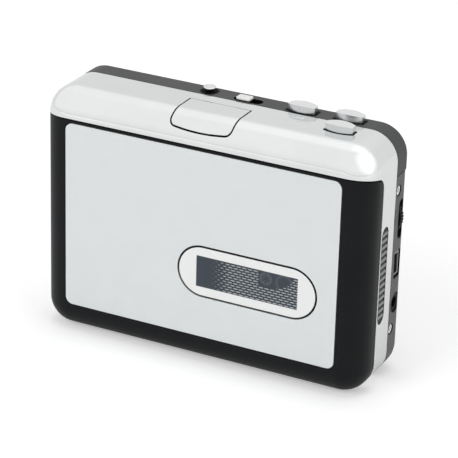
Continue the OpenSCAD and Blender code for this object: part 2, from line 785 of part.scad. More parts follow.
// Bowed push button with its stem, lower flange and crowned cap
module push_button(at) {
  top_z = body_h + button_rise;
  color("gainsboro") translate([at[0], at[1], 0]) {
    intersection() {
      translate([0, 0, flange_z + 0.5]) bowed_block(0, top_z - flange_z);
      rod_y(cap_crown_r, -button_w, button_w, 0, top_z - cap_crown_r);
    }
    translate([0, 0, flange_z]) bowed_block(flange_edge, 1);
    translate([0, 0, stem_z]) cylinder(r = stem_r, h = flange_z - stem_z + 0.5);
  }
}
module play_button() { push_button(play_at); }
module stop_button() { push_button(stop_at); }
module wind_button() { push_button(wind_at); }

module return_spring(at, top) {
  color("silver") translate([at[0], at[1], spring_z0]) coil(spring_r, spring_wire_r, top - spring_z0, 5);
}
module play_spring() { return_spring(play_at, flange_z); }
module stop_spring() { return_spring(stop_at, flange_z); }
module wind_spring() { return_spring(wind_at, flange_z); }

// Round button that flares towards its top
module direction_button() {
  rise = 1.7;
  color("gainsboro") translate([direction_at[0], direction_at[1], 0]) rotate_extrude()
    polygon([
      [0, stem_z], [stem_r, stem_z], [stem_r, flange_z - 0.5], [stem_r + 1.1, flange_z - 0.5],
      [stem_r + 1.1, flange_z + 0.3], [stem_r, flange_z + 0.3], [stem_r, body_h - 0.6],
      [direction_r, body_h + rise - 0.5], [direction_r, body_h + rise - 0.2],
      [direction_r - 0.2, body_h + rise], [direction_r - 0.6, body_h + rise], [0, body_h + rise - 0.25]
    ]);
}

module direction_bezel() {
  dish_z = body_h - direction_travel - 0.2;
  color("#3a3d41") translate([direction_at[0], direction_at[1], 0]) rotate_extrude()
    polygon([
      [stem_r + 0.25, top_in_z + 0.2], [bezel_r - running, top_in_z + 0.2], [bezel_r - running, body_h],
      [bezel_r - 0.3, body_h], [stem_r + 0.6, dish_z], [stem_r + 0.25, dish_z]
    ]);
}
module direction_spring() { return_spring(direction_at, flange_z - 0.5); }

// Slide switch knob with its cover plate under the strip
module mode_switch_knob() {
  color("lightgray") {
    translate([knob_rest_x, switch_at[1], flange_z + 0.5])
      rounded_block(knob_l, slot_w - 2 * 0.15, 0.6, body_h + 1 - flange_z - 0.5, 0.3);
    translate([knob_rest_x - 1, switch_at[1], flange_z + 0.2]) rounded_block(14, slot_w + 1.2, 1, 0.8);
    translate([knob_rest_x, switch_at[1], flange_z - 1.6]) rounded_block(2, 2, 0.4, 2);
  }
}

module mode_switch_body() {
  z0 = bracket_z + bracket_t;
  color("silver") difference() {
    translate([switch_at[0], switch_at[1] + 0.4, z0]) rounded_block(13, 5.4, 0.5, flange_z - 0.2 - z0);
    translate([knob_rest_x + 1.6, switch_at[1], flange_z - 2.2]) stadium(7, 2.6, 3);
  }
}

// Thumbwheel for the volume
module volume_wheel() {
  knurls = 48;
  color("#3a3d41") difference() {
    rod_y(volume_r, volume_y, volume_y + volume_t, volume_x, volume_z);
    rod_y(1.5 + running, volume_y - eps, volume_y + volume_t + eps, volume_x, volume_z);
    for (i = [0:knurls - 1]) rotate_about(volume_x, volume_z, 360 * i / knurls)
      box([volume_r - 0.35, volume_y - eps, -0.2], [volume_r + eps, volume_y + volume_t + eps, 0.2]);
  }
}

module rotate_about(x, z, angle) {
  translate([x, 0, z]) rotate([0, -angle, 0]) children();
}

module volume_pot() {
  color("#4a4d50") {
    rod_y(5, pcb_back_y, volume_y - sliding, volume_x - 0.2, volume_z);
    rod_y(1.5, pcb_back_y, volume_y + volume_t, volume_x, volume_z);
  }
}

// Small USB socket in a folded steel shell
module usb_socket() {
  l = 9.2;
  x1 = side_x - 0.5;
  t = 3.9;
  skin = 0.4;
  color("silver") difference() {
    box([x1 - l, pcb_back_y, usb_z - usb_w / 2], [x1, pcb_back_y + t, usb_z + usb_w / 2]);
    difference() {
      box([x1 - l + 1.2, pcb_back_y + skin, usb_z - usb_w / 2 + skin],
        [x1 + eps, pcb_back_y + t - skin, usb_z + usb_w / 2 - skin]);
      box([x1 - l, pcb_back_y + t / 2 - 0.5, usb_z - usb_w / 2 + 1.2],
        [x1 - 0.9, pcb_back_y + t / 2 + 0.5, usb_z + usb_w / 2 - 1.2]);
    }
  }
}

module headphone_jack() {
  color("#2a2c2f") difference() {
    union() {
      box([side_x - wall - 13, pcb_back_y, jack_z - 2.8],
        [side_x - wall - sliding, port_y + 2.4, jack_z + 2.8]);
      rod_x(jack_r, side_x - wall - eps, side_x - 0.4, port_y, jack_z);
    }
    rod_x(jack_bore_r, side_x - wall - 11.6, side_x + eps, port_y, jack_z);
  }
}

// Circuit board that carries the sockets and the volume control
module main_pcb() {
  color("darkgreen") difference() {
    box([pcb_x0, pcb_y, pcb_z0], [pcb_x1, pcb_back_y, pcb_z1]);
    for (at = pcb_posts) rod_y(0.75, pcb_y - eps, pcb_back_y + eps, at[0], at[1]);
  }
}

// Black deck behind the cassette
module deck_plate() {
  edge_x = pad_x - pad_w / 2 - sliding;
  color("#1c1d20") difference() {
    intersection() {
      box([-edge_x, deck_front_y, wall], [edge_x, deck_back_y, capstan_z - 4]);
      casing(wall + 0.4, deck_front_y - eps, deck_back_y + eps);
    }
    for (s = [-1, 1]) rod_y(reel_hole_r, deck_front_y - eps, deck_back_y + eps, s * reel_x, hub_z);
  }
}

// Steel plate that carries the mechanism
module mech_chassis() {
  ear_x0 = play_at[0] - ear_inner;
  ear_x1 = play_at[0] + ear_outer;
  edge_x = side_x - wall - 0.6;
  color("lightslategray") difference() {
    union() {
      box([-edge_x, deck_back_y, shelf_z + 1.6], [edge_x, chassis_y, cassette_top - 1]);
      box([-crown_x, deck_back_y, cassette_top - 2], [crown_x, chassis_y, cassette_top - 1 + crown_h]);
      box([ear_x0, deck_back_y, cassette_top - 2], [ear_x1, chassis_y, spring_z0]);
      box([ear_x0, play_at[1] - 2.6, bracket_z], [ear_x1, chassis_y, spring_z0]);
      for (s = [-1, 1]) rod_y(slide_pin_r, deck_front_y - 0.4, chassis_y / 2, s * slide_pin_x, slide_pin_z);
      rod_y(1.4, chassis_y - 0.5, gear_y + gear_t + 0.2, idler_at[0], idler_at[1]);
    }
    for (s = [-1, 1]) {
      rod_y(bush_r + 0.02, deck_back_y - eps, chassis_y + eps, s * capstan_x, capstan_z);
      rod_y(reel_shaft_r + running, deck_back_y - eps, chassis_y + eps, s * reel_x, hub_z);
      for (z = pad_zs) rod_y(screw_r + 0.1, deck_back_y - eps, chassis_y + eps, s * pad_x, z);
      side_box(s, tab_in_x - 0.6, side_x, deck_back_y - eps, chassis_y + eps, screw_zs[1] - 4, cassette_top);
    }
    translate([play_at[0], play_at[1], stem_z - button_travel - eps])
      cylinder(r = stem_r + running, h = spring_z0 - stem_z + button_travel + 2 * eps);
  }
}

module capstan_bushes() {
  color("goldenrod") for (s = [-1, 1]) difference() {
    rod_y(bush_r, deck_front_y + 0.4, chassis_y + 0.2, s * capstan_x, capstan_z);
    rod_y(capstan_r + running, deck_front_y - eps, chassis_y + eps, s * capstan_x, capstan_z);
  }
}

// Folded steel plate that guides the stems of the top buttons
module button_bracket() {
  color("lightslategray") difference() {
    box([-16, pcb_y - 0.1, bracket_z], [46, rear_in_y - 0.1, spring_z0]);
    for (at = [stop_at, wind_at, direction_at]) translate([at[0], at[1], bracket_z - eps])
      cylinder(r = stem_r + running, h = bracket_t + 2 * eps);
  }
}

// Reel spindle with three drive fins, and its gear or plain disc behind the chassis
module reel_spindle(s) {
  tip_y = deck_back_y - 12;
  fin_y = deck_back_y - 8.6;
  color("#e8e8e4") translate([s * reel_x, 0, hub_z]) {
    translate([0, deck_front_y + 0.2, 0]) rotate([90, 0, 0]) rotate_extrude()
      polygon([
        [0, 0], [5.6, 0], [5.6, 0.8], [3.3, 1.4], [3.3, 6.6], [2.9, 8.4], [1.4, -tip_y + deck_front_y + 0.2],
        [0, -tip_y + deck_front_y + 0.2]
      ]);
    for (k = [0:2]) rotate([0, 120 * k + 30, 0]) box([0, fin_y, -0.6], [4.4, deck_front_y - 0.4, 0.6]);
    rod_y(reel_shaft_r, deck_front_y, gear_y + 0.2, 0, 0);
    if (s > 0) gear(reel_teeth, reel_phase, gear_y, gear_y + gear_t);
    else rod_y(reel_pitch_r - 1, gear_y, gear_y + gear_t, 0, 0);
  }
}
module reel_spindle_left() { reel_spindle(-1); }
module reel_spindle_right() { reel_spindle(1); }

// Flywheel on its capstan, with the pinion on the right one
module capstan_flywheel(s) {
  groove_y = wheel_y + (wheel_t - groove_h) / 2;
  color("darkgray") translate([s * capstan_x, 0, capstan_z]) {
    difference() {
      rod_y(flywheel_r, wheel_y, wheel_y + wheel_t, 0, 0);
      difference() {
        rod_y(flywheel_r + eps, groove_y, groove_y + groove_h, 0, 0);
        rod_y(flywheel_r - groove_depth, groove_y - eps, groove_y + groove_h + eps, 0, 0);
      }
    }
    rod_y(capstan_r, capstan_tip_y, wheel_y + 0.5, 0, 0);
    if (s > 0) gear(pinion_teeth, 0, gear_y, gear_y + gear_t);
    rod_y(2.6, gear_y + gear_t - 0.1, wheel_y + 0.1, 0, 0);
  }
}
module capstan_flywheel_left() { capstan_flywheel(-1); }
module capstan_flywheel_right() { capstan_flywheel(1); }

module drive_belt() {
  y0 = wheel_y + (wheel_t - belt_h) / 2;
  color("#1a1a1a") difference() {
    upright(y0, y0 + belt_h) polygon(belt_line(1));
    upright(y0 - eps, y0 + belt_h + eps) polygon(belt_line(-1));
  }
}

module motor() {
  color("silver") {
    rod_y(motor_r, pcb_y - 0.2, rear_in_y - running, motor_at[0], motor_at[1]);
    rod_y(2.4, pcb_y - 0.3, pcb_y, motor_at[0], motor_at[1]);
    rod_y(0.75, gear_y + gear_t, pcb_y, motor_at[0], motor_at[1]);
  }
}

module motor_pulley() {
  groove_y = wheel_y + (wheel_t - groove_h) / 2;
  color("goldenrod") difference() {
    rod_y(pulley_r, wheel_y, wheel_y + wheel_t, motor_at[0], motor_at[1]);
    difference() {
      rod_y(pulley_r + eps, groove_y, groove_y + groove_h, motor_at[0], motor_at[1]);
      rod_y(pulley_r - groove_depth, groove_y - eps, groove_y + groove_h + eps, motor_at[0], motor_at[1]);
    }
    rod_y(0.75 + running, wheel_y - eps, wheel_y + wheel_t + eps, motor_at[0], motor_at[1]);
  }
}

module idler_gear() {
  color("white") difference() {
    translate([idler_at[0], 0, idler_at[1]]) gear(idler_teeth, idler_phase, gear_y, gear_y + gear_t);
    rod_y(1.4 + running, gear_y - eps, gear_y + gear_t + eps, idler_at[0], idler_at[1]);
  }
}

// Sliding plate with the head shelf and the pinch roller pins
module head_carriage() {
  plate_back_y = deck_back_y - 0.1;
  head_half = 7;
  slot_d = 2 * slide_pin_r + 0.2;
  color("lightslategray") difference() {
    union() {
      box([-capstan_x - 4, deck_front_y + 0.1, roller_z - 2.6], [capstan_x + 4, plate_back_y, roller_z + 4]);
      box([-head_half, hook_y1 + 0.6, head_top], [head_half, plate_back_y, head_top + 1]);
      for (s = [-1, 1]) {
        rod_y(0.9, roller_y0 - 0.3, plate_back_y, s * capstan_x, roller_z);
        side_box(s, slide_pin_x - 3, slide_pin_x + 3, deck_front_y + 0.1, plate_back_y,
          roller_z, slide_pin_z + head_travel + slot_d + sliding);
      }
    }
    for (s = [-1, 1]) translate([s * slide_pin_x, plate_back_y + eps, slide_pin_z + head_travel / 2])
      rotate([90, 90, 0]) stadium(head_travel + slot_d + 2 * sliding, slot_d, 3 * eps);
  }
}

module tape_head() {
  color("silver") translate([0, (roller_y0 + roller_y1) / 2 + 0.3, cassette_top + 0.3])
    rounded_block(11.6, 5.4, 1, head_top - cassette_top - 0.3, 0, 0.8);
}

module pinch_roller(s) {
  color("#222222") difference() {
    rod_y(roller_r, roller_y0, roller_y1, s * capstan_x, roller_z);
    rod_y(0.9 + running, roller_y0 - eps, roller_y1 + eps, s * capstan_x, roller_z);
  }
}
module pinch_roller_left() { pinch_roller(-1); }
module pinch_roller_right() { pinch_roller(1); }

module battery_cover() {
  color("dimgray") intersection() {
    face_block(2 * cover_x, cover_z1 - cover_z0, 2, back_y - cover_t, back_y + eps,
      (cover_z0 + cover_z1) / 2);
    casing(0, shell_y, back_y, 0, back_r);
  }
}

// Two cells end to end
module battery_cells() {
  nub_l = 1;
  color("slateblue") for (x = [-cell_end, cell_gap]) {
    rod_x(cell_r, x, x + cell_l - nub_l, cell_y, cell_z);
    rod_x(2.7, x + cell_l - nub_l - 0.1, x + cell_l, cell_y, cell_z);
  }
}

module battery_contacts() {
  plate_x = cell_end + contact_l;
  color("silver") for (s = [-1, 1]) {
    side_box(s, plate_x - 0.3, plate_x, cell_y - 5, cell_y + 4, cell_z - 5, cell_z + 5);
    side_rod(s, 2.4, cell_end + 0.1, plate_x - 0.1, cell_y, cell_z);
  }
}

// Short screws through the rear shell into the frame
module case_screws() {
  drive_w = 0.4;
  color("silver") for (s = [-1, 1]) for (z = screw_zs) difference() {
    union() {
      side_rod(s, screw_head_r, side_x - 1.2, side_x - 0.2, screw_y, z);
      side_rod(s, screw_r, tab_in_x + 0.1, side_x - 1.1, screw_y, z);
    }
    side_box(s, side_x - 0.6, side_x, screw_y - drive_w / 2, screw_y + drive_w / 2, z - 1, z + 1);
    side_box(s, side_x - 0.6, side_x, screw_y - 1, screw_y + 1, z - drive_w / 2, z + drive_w / 2);
  }
}

module chassis_screws() {
  color("silver") {
    for (s = [-1, 1]) for (z = pad_zs) {
      rod_y(1.3, chassis_y, chassis_y + 0.8, s * pad_x, z);
      rod_y(screw_r - running, deck_back_y - 2.6, chassis_y + 0.1, s * pad_x, z);
    }
    for (at = pcb_posts) {
      rod_y(1.3, pcb_y - 0.5, pcb_y, at[0], at[1]);
      rod_y(0.65, pcb_y - 0.1, pcb_back_y + 3.6, at[0], at[1]);
    }
  }
}

front_frame();
side_grip_right();
side_grip_left();
rear_shell();
control_panel();
door_shell();
door_face_plate();
door_window();
window_screen();
cassette_guides();
cassette_springs();
hinge_pins();
release_tab();
release_tab_pin();
release_spring();
play_button();
stop_button();
wind_button();
play_spring();
stop_spring();
wind_spring();
direction_button();
direction_bezel();
direction_spring();
mode_switch_knob();
mode_switch_body();
volume_wheel();
volume_pot();
usb_socket();
headphone_jack();
main_pcb();
deck_plate();
mech_chassis();
capstan_bushes();
button_bracket();
reel_spindle_left();
reel_spindle_right();
capstan_flywheel_left();
capstan_flywheel_right();
drive_belt();
motor();
motor_pulley();
idler_gear();
head_carriage();
tape_head();
pinch_roller_left();
pinch_roller_right();
battery_cover();
battery_cells();
battery_contacts();
case_screws();
chassis_screws();
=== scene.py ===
"""Pocket cassette player with a USB socket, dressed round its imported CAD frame."""

import math

import bpy
from mathutils import Matrix, Vector


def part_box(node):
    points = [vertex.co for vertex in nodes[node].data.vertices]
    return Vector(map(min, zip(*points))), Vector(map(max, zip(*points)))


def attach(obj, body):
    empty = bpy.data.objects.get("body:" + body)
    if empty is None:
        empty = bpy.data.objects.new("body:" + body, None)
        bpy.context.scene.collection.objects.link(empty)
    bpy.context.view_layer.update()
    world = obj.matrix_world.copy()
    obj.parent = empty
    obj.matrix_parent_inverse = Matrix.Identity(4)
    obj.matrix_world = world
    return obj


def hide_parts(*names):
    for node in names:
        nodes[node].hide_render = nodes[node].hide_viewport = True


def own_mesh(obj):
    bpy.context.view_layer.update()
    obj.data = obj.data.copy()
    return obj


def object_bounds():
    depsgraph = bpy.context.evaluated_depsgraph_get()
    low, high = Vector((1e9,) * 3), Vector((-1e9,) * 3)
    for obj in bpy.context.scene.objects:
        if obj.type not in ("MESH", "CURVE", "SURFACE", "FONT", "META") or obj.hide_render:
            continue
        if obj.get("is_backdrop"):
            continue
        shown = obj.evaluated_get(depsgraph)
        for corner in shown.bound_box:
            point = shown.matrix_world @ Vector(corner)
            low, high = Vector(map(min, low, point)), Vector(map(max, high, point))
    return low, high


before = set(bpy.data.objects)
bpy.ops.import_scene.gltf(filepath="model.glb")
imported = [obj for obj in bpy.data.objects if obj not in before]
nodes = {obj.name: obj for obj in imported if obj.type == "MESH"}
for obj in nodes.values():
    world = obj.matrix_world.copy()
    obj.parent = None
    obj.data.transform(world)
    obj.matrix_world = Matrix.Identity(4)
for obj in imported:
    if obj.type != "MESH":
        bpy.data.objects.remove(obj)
cad_low, cad_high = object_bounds()

# Front frame and release tab: thin mouldings in ABS, plated with bright chrome.
# The frame carries the hinge, the lip over the door and the ears that hold the tab's steel pin.
# Every moulding here joins its split corners, and shades smoothly across all but real edges.
MM = 0.001
joined = bpy.data.node_groups.new("joined corners", "GeometryNodeTree")
for way in ("INPUT", "OUTPUT"):
    joined.interface.new_socket("Mesh", in_out=way, socket_type="NodeSocketGeometry")
steps = [joined.nodes.new(kind) for kind in (
    "NodeGroupInput", "GeometryNodeMergeByDistance", "GeometryNodeSetMeshNormal", "NodeGroupOutput"
)]
steps[1].inputs["Distance"].default_value = 0.002 * MM
steps[2].mode = "SHARPNESS"
steps[2].inputs["Remove Custom"].default_value = True
for source, target in zip(steps, steps[1:]):
    joined.links.new(source.outputs[0], target.inputs[0])
bend = joined.nodes.new("GeometryNodeInputMeshEdgeAngle")
real_edge = joined.nodes.new("FunctionNodeCompare")
real_edge.operation = "GREATER_THAN"
real_edge.inputs["B"].default_value = math.radians(32)
joined.links.new(bend.outputs["Unsigned Angle"], real_edge.inputs["A"])
joined.links.new(real_edge.outputs[0], steps[2].inputs["Edge Sharpness"])
for node in nodes.values():
    node.modifiers.new("joined corners", "NODES").node_group = joined


def put(tree, socket, value):
    """Feeds a socket from another socket, or sets it to a plain value."""
    if isinstance(value, bpy.types.NodeSocket):
        tree.links.new(value, socket)
    else:
        socket.default_value = value


def add(tree, kind, feeds=(), **settings):
    """A shader node with its settings and what feeds its sockets."""
    node = tree.nodes.new("ShaderNode" + kind)
    for key, value in settings.items():
        setattr(node, key, value)
    for key, value in dict(feeds).items():
        put(tree, node.inputs[key], value)
    return node


def maths(tree, operation, first, second=0.0, clamp=False):
    """The result of one sum on two values."""
    return add(tree, "Math", {0: first, 1: second}, operation=operation, use_clamp=clamp).outputs[0]


def span(tree, value, low, high, to_low=0.0, to_high=1.0):
    """A value taken from one range to another, and held at its ends."""
    feeds = {"Value": value, "From Min": low, "From Max": high, "To Min": to_low, "To Max": to_high}
    return add(tree, "MapRange", feeds).outputs["Result"]


def tint(tree, share, first, second):
    """A colour between two, by a share from 0 to 1."""
    return add(tree, "Mix", {0: share, 6: first, 7: second}, data_type="RGBA").outputs[2]


def effect(name, inputs, outputs):
    """An empty node group with named number sockets, as (group, its inputs, its outputs)."""
    group = bpy.data.node_groups.new(name, "ShaderNodeTree")
    for label, value in inputs.items():
        socket = group.interface.new_socket(label, in_out="INPUT", socket_type="NodeSocketFloat")
        socket.default_value = value
    for label in outputs:
        group.interface.new_socket(label, in_out="OUTPUT", socket_type="NodeSocketFloat")
    sockets = group.nodes.new("NodeGroupInput").outputs, group.nodes.new("NodeGroupOutput").inputs
    return group, *sockets


def place_effect(tree, group, **values):
    """A copy of an effect in a material, with its own values."""
    node = tree.nodes.new("ShaderNodeGroup")
    node.node_tree = group
    for label, value in values.items():
        put(tree, node.inputs[label], value)
    return node.outputs


def surface_place(tree):
    """Where a point lies on its piece, in metres."""
    return add(tree, "TexCoord").outputs["Object"]


def finish(name, **plain):
    """A material, as (material, node tree, shader), with its plain values on the shader's own sockets."""
    material = bpy.data.materials.new(name)
    material.use_nodes = True
    shader = material.node_tree.nodes["Principled BSDF"]
    for label, value in plain.items():
        shader.inputs[label.replace("_", " ")].default_value = value
    return material, material.node_tree, shader


def relief(tree, shader, height, depth_mm, edge_mm=0.12):
    """Raises the surface by a height map of that depth, and softens the piece's edges."""
    soft = add(tree, "Bevel", {"Radius": edge_mm * MM}, samples=6).outputs["Normal"]
    bump = add(tree, "Bump", {"Height": height, "Distance": depth_mm * MM, "Strength": 1.0, "Normal": soft})
    put(tree, shader.inputs["Normal"], bump.outputs["Normal"])


def dress(material, *names):
    """Puts a finish on CAD pieces."""
    for name in names:
        mesh = nodes[name].data
        mesh.materials.clear()
        mesh.materials.append(material)


# Marks of handling: soft smudges, and short hairline scratches in two directions
handling, wanted, given = effect("handling marks", {"Smudge size": 70.0}, ["Smudge", "Scratch"])
spot = surface_place(handling)
clouds = add(handling, "TexNoise", {"Vector": spot, "Scale": wanted["Smudge size"], "Detail": 4.0})
put(handling, given["Smudge"], span(handling, clouds.outputs["Fac"], 0.42, 0.7))
hairlines = []
for turn, stretch in ((0.5, (1500.0, 1500.0, 45.0)), (-0.9, (45.0, 1300.0, 1300.0))):
    lie = add(handling, "Mapping", {"Vector": spot, "Rotation": (turn, 0.35, turn), "Scale": stretch})
    noise = add(handling, "TexNoise", {"Vector": lie.outputs[0], "Scale": 1.0, "Detail": 1.0})
    hairlines.append(span(handling, noise.outputs["Fac"], 0.72, 0.78))
put(handling, given["Scratch"], maths(handling, "MAXIMUM", *hairlines))

chrome, tree, shader = finish("bright chrome plating", Metallic=1.0)
marks = place_effect(tree, handling, **{"Smudge size": 55.0})
plated = tint(tree, marks["Smudge"], (0.8, 0.812, 0.812, 1), (0.765, 0.777, 0.777, 1))
put(tree, shader.inputs["Base Color"], plated)
film_dull = span(tree, marks["Smudge"], 0.0, 1.0, 0.07, 0.12)
scratch_dull = maths(tree, "MULTIPLY", marks["Scratch"], 0.06)
put(tree, shader.inputs["Roughness"], maths(tree, "ADD", film_dull, scratch_dull))
sink = add(tree, "TexNoise", {"Vector": surface_place(tree), "Scale": 160.0, "Detail": 1.0})
relief(tree, shader, sink.outputs["Fac"], depth_mm=0.006, edge_mm=0.3)
dress(chrome, "front_frame", "release_tab")

# Push buttons: plated caps on long stems, and a small flared one for the tape's direction.
# Coil springs round the stems lift them, and a black rubber seal lies round each long cap, wide enough to
# stand in also for the shade at the cap's foot.
# The long caps' sides are painted darker than their polished tops, as painted shade, and are rougher.
dress(chrome, "direction_button")
cap_plating, tree, shader = finish("plated cap with painted side shade", Metallic=1.0)
marks = place_effect(tree, handling, **{"Smudge size": 55.0})
facing = add(tree, "SeparateXYZ", {0: add(tree, "NewGeometry").outputs["Normal"]}).outputs["Z"]
# Painted shade: the caps' sides get a darker plating colour than their tops.
shaded_side_share = span(tree, facing, 0.3, 0.8, 1.0, 0.0)
cap_bright = tint(tree, marks["Smudge"], (0.87, 0.882, 0.882, 1), (0.83, 0.842, 0.842, 1))
put(tree, shader.inputs["Base Color"], tint(tree, shaded_side_share, cap_bright, (0.7, 0.712, 0.716, 1)))
polish = span(tree, marks["Smudge"], 0.0, 1.0, 0.06, 0.1)
put(tree, shader.inputs["Roughness"], maths(tree, "ADD", polish, maths(tree, "MULTIPLY", shaded_side_share, 0.2)))
relief(tree, shader, marks["Scratch"], depth_mm=0.001)
dress(cap_plating, "play_button", "stop_button", "wind_button")
case_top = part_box("front_frame")[1].z / MM
cap_l, cap_w, cap_bow = 9.1, 4.6, 1.1


def piece(name, body, material, vertices, faces):
    """A mesh piece, from points in millimetres, that rides on a body."""
    mesh = bpy.data.meshes.new(name)
    mesh.from_pydata([[length * MM for length in point] for point in vertices], [], faces)
    mesh.materials.append(material)
    thing = bpy.data.objects.new(name, mesh)
    bpy.context.scene.collection.objects.link(thing)
    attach(thing, body)
    return thing


def collar(name, body, material, loops):
    """A closed ring through loops of points that are joined in turn."""
    count = len(loops[0])
    faces = []
    for k in range(len(loops)):
        here, there = k * count, (k + 1) % len(loops) * count
        for j in range(count):
            after = (j + 1) % count
            faces.append((here + j, here + after, there + after, there + j))
    return piece(name, body, material, [point for loop in loops for point in loop], faces)


def cap_outline(x, y, grow, z):
    """The outline of a long cap, grown all round: two bowed sides and straight ends."""
    half_l, half_w = cap_l / 2 + grow, cap_w / 2 + grow
    radius = (half_l * half_l + cap_bow * cap_bow) / (2 * cap_bow)
    sweep = math.asin(half_l / radius)
    points = []
    for side in (1, -1):
        for step in range(13):
            turn = side * sweep * (1 - step / 6)
            bowed = half_w - radius + radius * math.cos(turn)
            points.append((x + radius * math.sin(turn), y + side * bowed, z))
    return points


seal_black, tree, shader = finish("black seal rubber", Specular_IOR_Level=0.1)
worn = place_effect(tree, handling)
seal_tone = tint(tree, worn["Smudge"], (0.004, 0.004, 0.004, 1), (0.007, 0.007, 0.007, 1))
put(tree, shader.inputs["Base Color"], seal_tone)
put(tree, shader.inputs["Roughness"], span(tree, worn["Smudge"], 0.0, 1.0, 0.7, 0.6))
# The seals' black also stands in as painted shade round the caps' feet, the wider ones most.
for button, seal_and_shade_width in (("play_button", 0.5), ("stop_button", 0.75), ("wind_button", 0.75)):
    low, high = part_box(button)
    x, y = (low.x + high.x) / 2 / MM, (low.y + high.y) / 2 / MM
    rim = [(0.07, -0.5), (seal_and_shade_width, -0.05), (seal_and_shade_width, 0.03), (seal_and_shade_width - 0.12, 0.08), (0.15, 0.08), (0.07, 0.03)]
    collar(button + "_seal", "case", seal_black, [cap_outline(x, y, grow, case_top + up) for grow, up in rim])
    softening = nodes[button].modifiers.new("rounded edges", "BEVEL")
    softening.width, softening.segments = 0.22 * MM, 3
    softening.limit_method, softening.angle_limit = "ANGLE", math.radians(50)

# Transport marks: plain raised signs on the plated top, moulded in one with the frame.
# A sign tapers a little towards its top, as it draws out of the mould.
play_low, play_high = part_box("play_button")
wind_low, wind_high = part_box("wind_button")


def raised_signs(name, body, material, outlines, base, rise, foot=0.05, taper=0.82):
    """Flat topped signs on a level face, each with sides that lean in."""
    vertices, faces = [], []
    for outline in outlines:
        first, count = len(vertices), len(outline)
        mid_x = sum(x for x, y in outline) / count
        mid_y = sum(y for x, y in outline) / count
        for share, z in ((1.0, base - foot), (taper, base + rise)):
            vertices += [(mid_x + share * (x - mid_x), mid_y + share * (y - mid_y), z) for x, y in outline]
        faces += [range(first + count, first + 2 * count), tuple(reversed(range(first, first + count)))]
        for k in range(count):
            after = (k + 1) % count
            faces.append((first + k, first + after, first + count + after, first + count + k))
    return piece(name, body, material, vertices, faces)


def pointer(x, y, length, half):
    """A triangle that points along X, or back where the length is negative."""
    tip = (x + length / 2, y)
    ends = [(x - length / 2, y - half), (x - length / 2, y + half)]
    return [ends[0], tip, ends[1]] if length > 0 else [ends[1], tip, ends[0]]


mark, half, mark_rise = 1.5, 0.8, 0.12
beside_play, before_play, before_wind, apart, off_middle = 8.2, 1.1, 2.2, 2.4, 0.9
play_x = play_low.x / MM - beside_play
play_y = (play_low.y + play_high.y) / 2 / MM - before_play
wind_x = (wind_low.x + wind_high.x) / 2 / MM
wind_y = wind_low.y / MM - before_wind
signs = [pointer(play_x, play_y, mark, half)]
square = ((-1, -1), (1, -1), (1, 1), (-1, 1))
signs.append([(play_x + apart + a * half, play_y + b * half) for a, b in square])
for side in (-1, 1):
    pair = [wind_x + side * (off_middle + step * mark) for step in (0, 1)]
    signs += [pointer(sign_x, wind_y, side * mark, half) for sign_x in pair]
raised_signs("transport_marks", "case", chrome, signs, case_top, mark_rise)

# Rear shell and control strip: grey ABS with a fine spark eroded skin.
# The strip clips into the shell, which four side screws hold to the frame.
# The openings in the shell's side and the screws' counterbores are painted black inside and round their rims,
# as painted shade in these hollows.
grain_group, wanted, given = effect("moulded grain", {"Grain": 2600.0}, ["Height", "Mottle"])
spot = surface_place(grain_group)
fine = {"Vector": spot, "Scale": wanted["Grain"], "Detail": 3.0, "Roughness": 0.65}
grit = add(grain_group, "TexNoise", fine)
put(grain_group, given["Height"], grit.outputs["Fac"])
coarse = maths(grain_group, "DIVIDE", wanted["Grain"], 40.0)
flow = add(grain_group, "TexNoise", {"Vector": spot, "Scale": coarse})
put(grain_group, given["Mottle"], span(grain_group, flow.outputs["Fac"], 0.35, 0.65))


def moulded(name, dark, light, rough, grain, depth_mm, **plain):
    """A moulded plastic: two close tones, a grained skin and rubbed, smoother smudges."""
    material, tree, shader = finish(name, **plain)
    skin = place_effect(tree, grain_group, Grain=grain)
    rubbed = place_effect(tree, handling)
    put(tree, shader.inputs["Base Color"], tint(tree, skin["Mottle"], (*dark, 1), (*light, 1)))
    put(tree, shader.inputs["Roughness"], span(tree, rubbed["Smudge"], 0.0, 1.0, rough, rough * 0.92))
    relief(tree, shader, skin["Height"], depth_mm)
    return material


shell_tones = (0.122, 0.122, 0.12), (0.127, 0.127, 0.125)
rear_grey = moulded(
    "grained grey shell", *shell_tones, rough=0.55, grain=3200.0, depth_mm=0.03, Specular_IOR_Level=0.25
)
dress(rear_grey, "rear_shell")


def flat_length(tree, first, second):
    """The length of a flat offset, from its two parts."""
    offset = add(tree, "CombineXYZ", {0: first, 1: second}).outputs[0]
    return add(tree, "VectorMath", {0: offset}, operation="LENGTH").outputs["Value"]


def opening(tree, place, centre, half, corner, axes="YZ"):
    """1 inside a rounded opening, by its centre and half sizes along two axes, seen along the third."""
    past = []
    for axis, mid, reach in zip(axes, centre, half):
        off = maths(tree, "ABSOLUTE", maths(tree, "SUBTRACT", maths(tree, "DIVIDE", place[axis], MM), mid))
        past.append(maths(tree, "MAXIMUM", maths(tree, "SUBTRACT", off, reach - corner), 0.0))
    soft = 0.03
    return span(tree, flat_length(tree, *past), corner - soft, corner + soft, 1.0, 0.0)


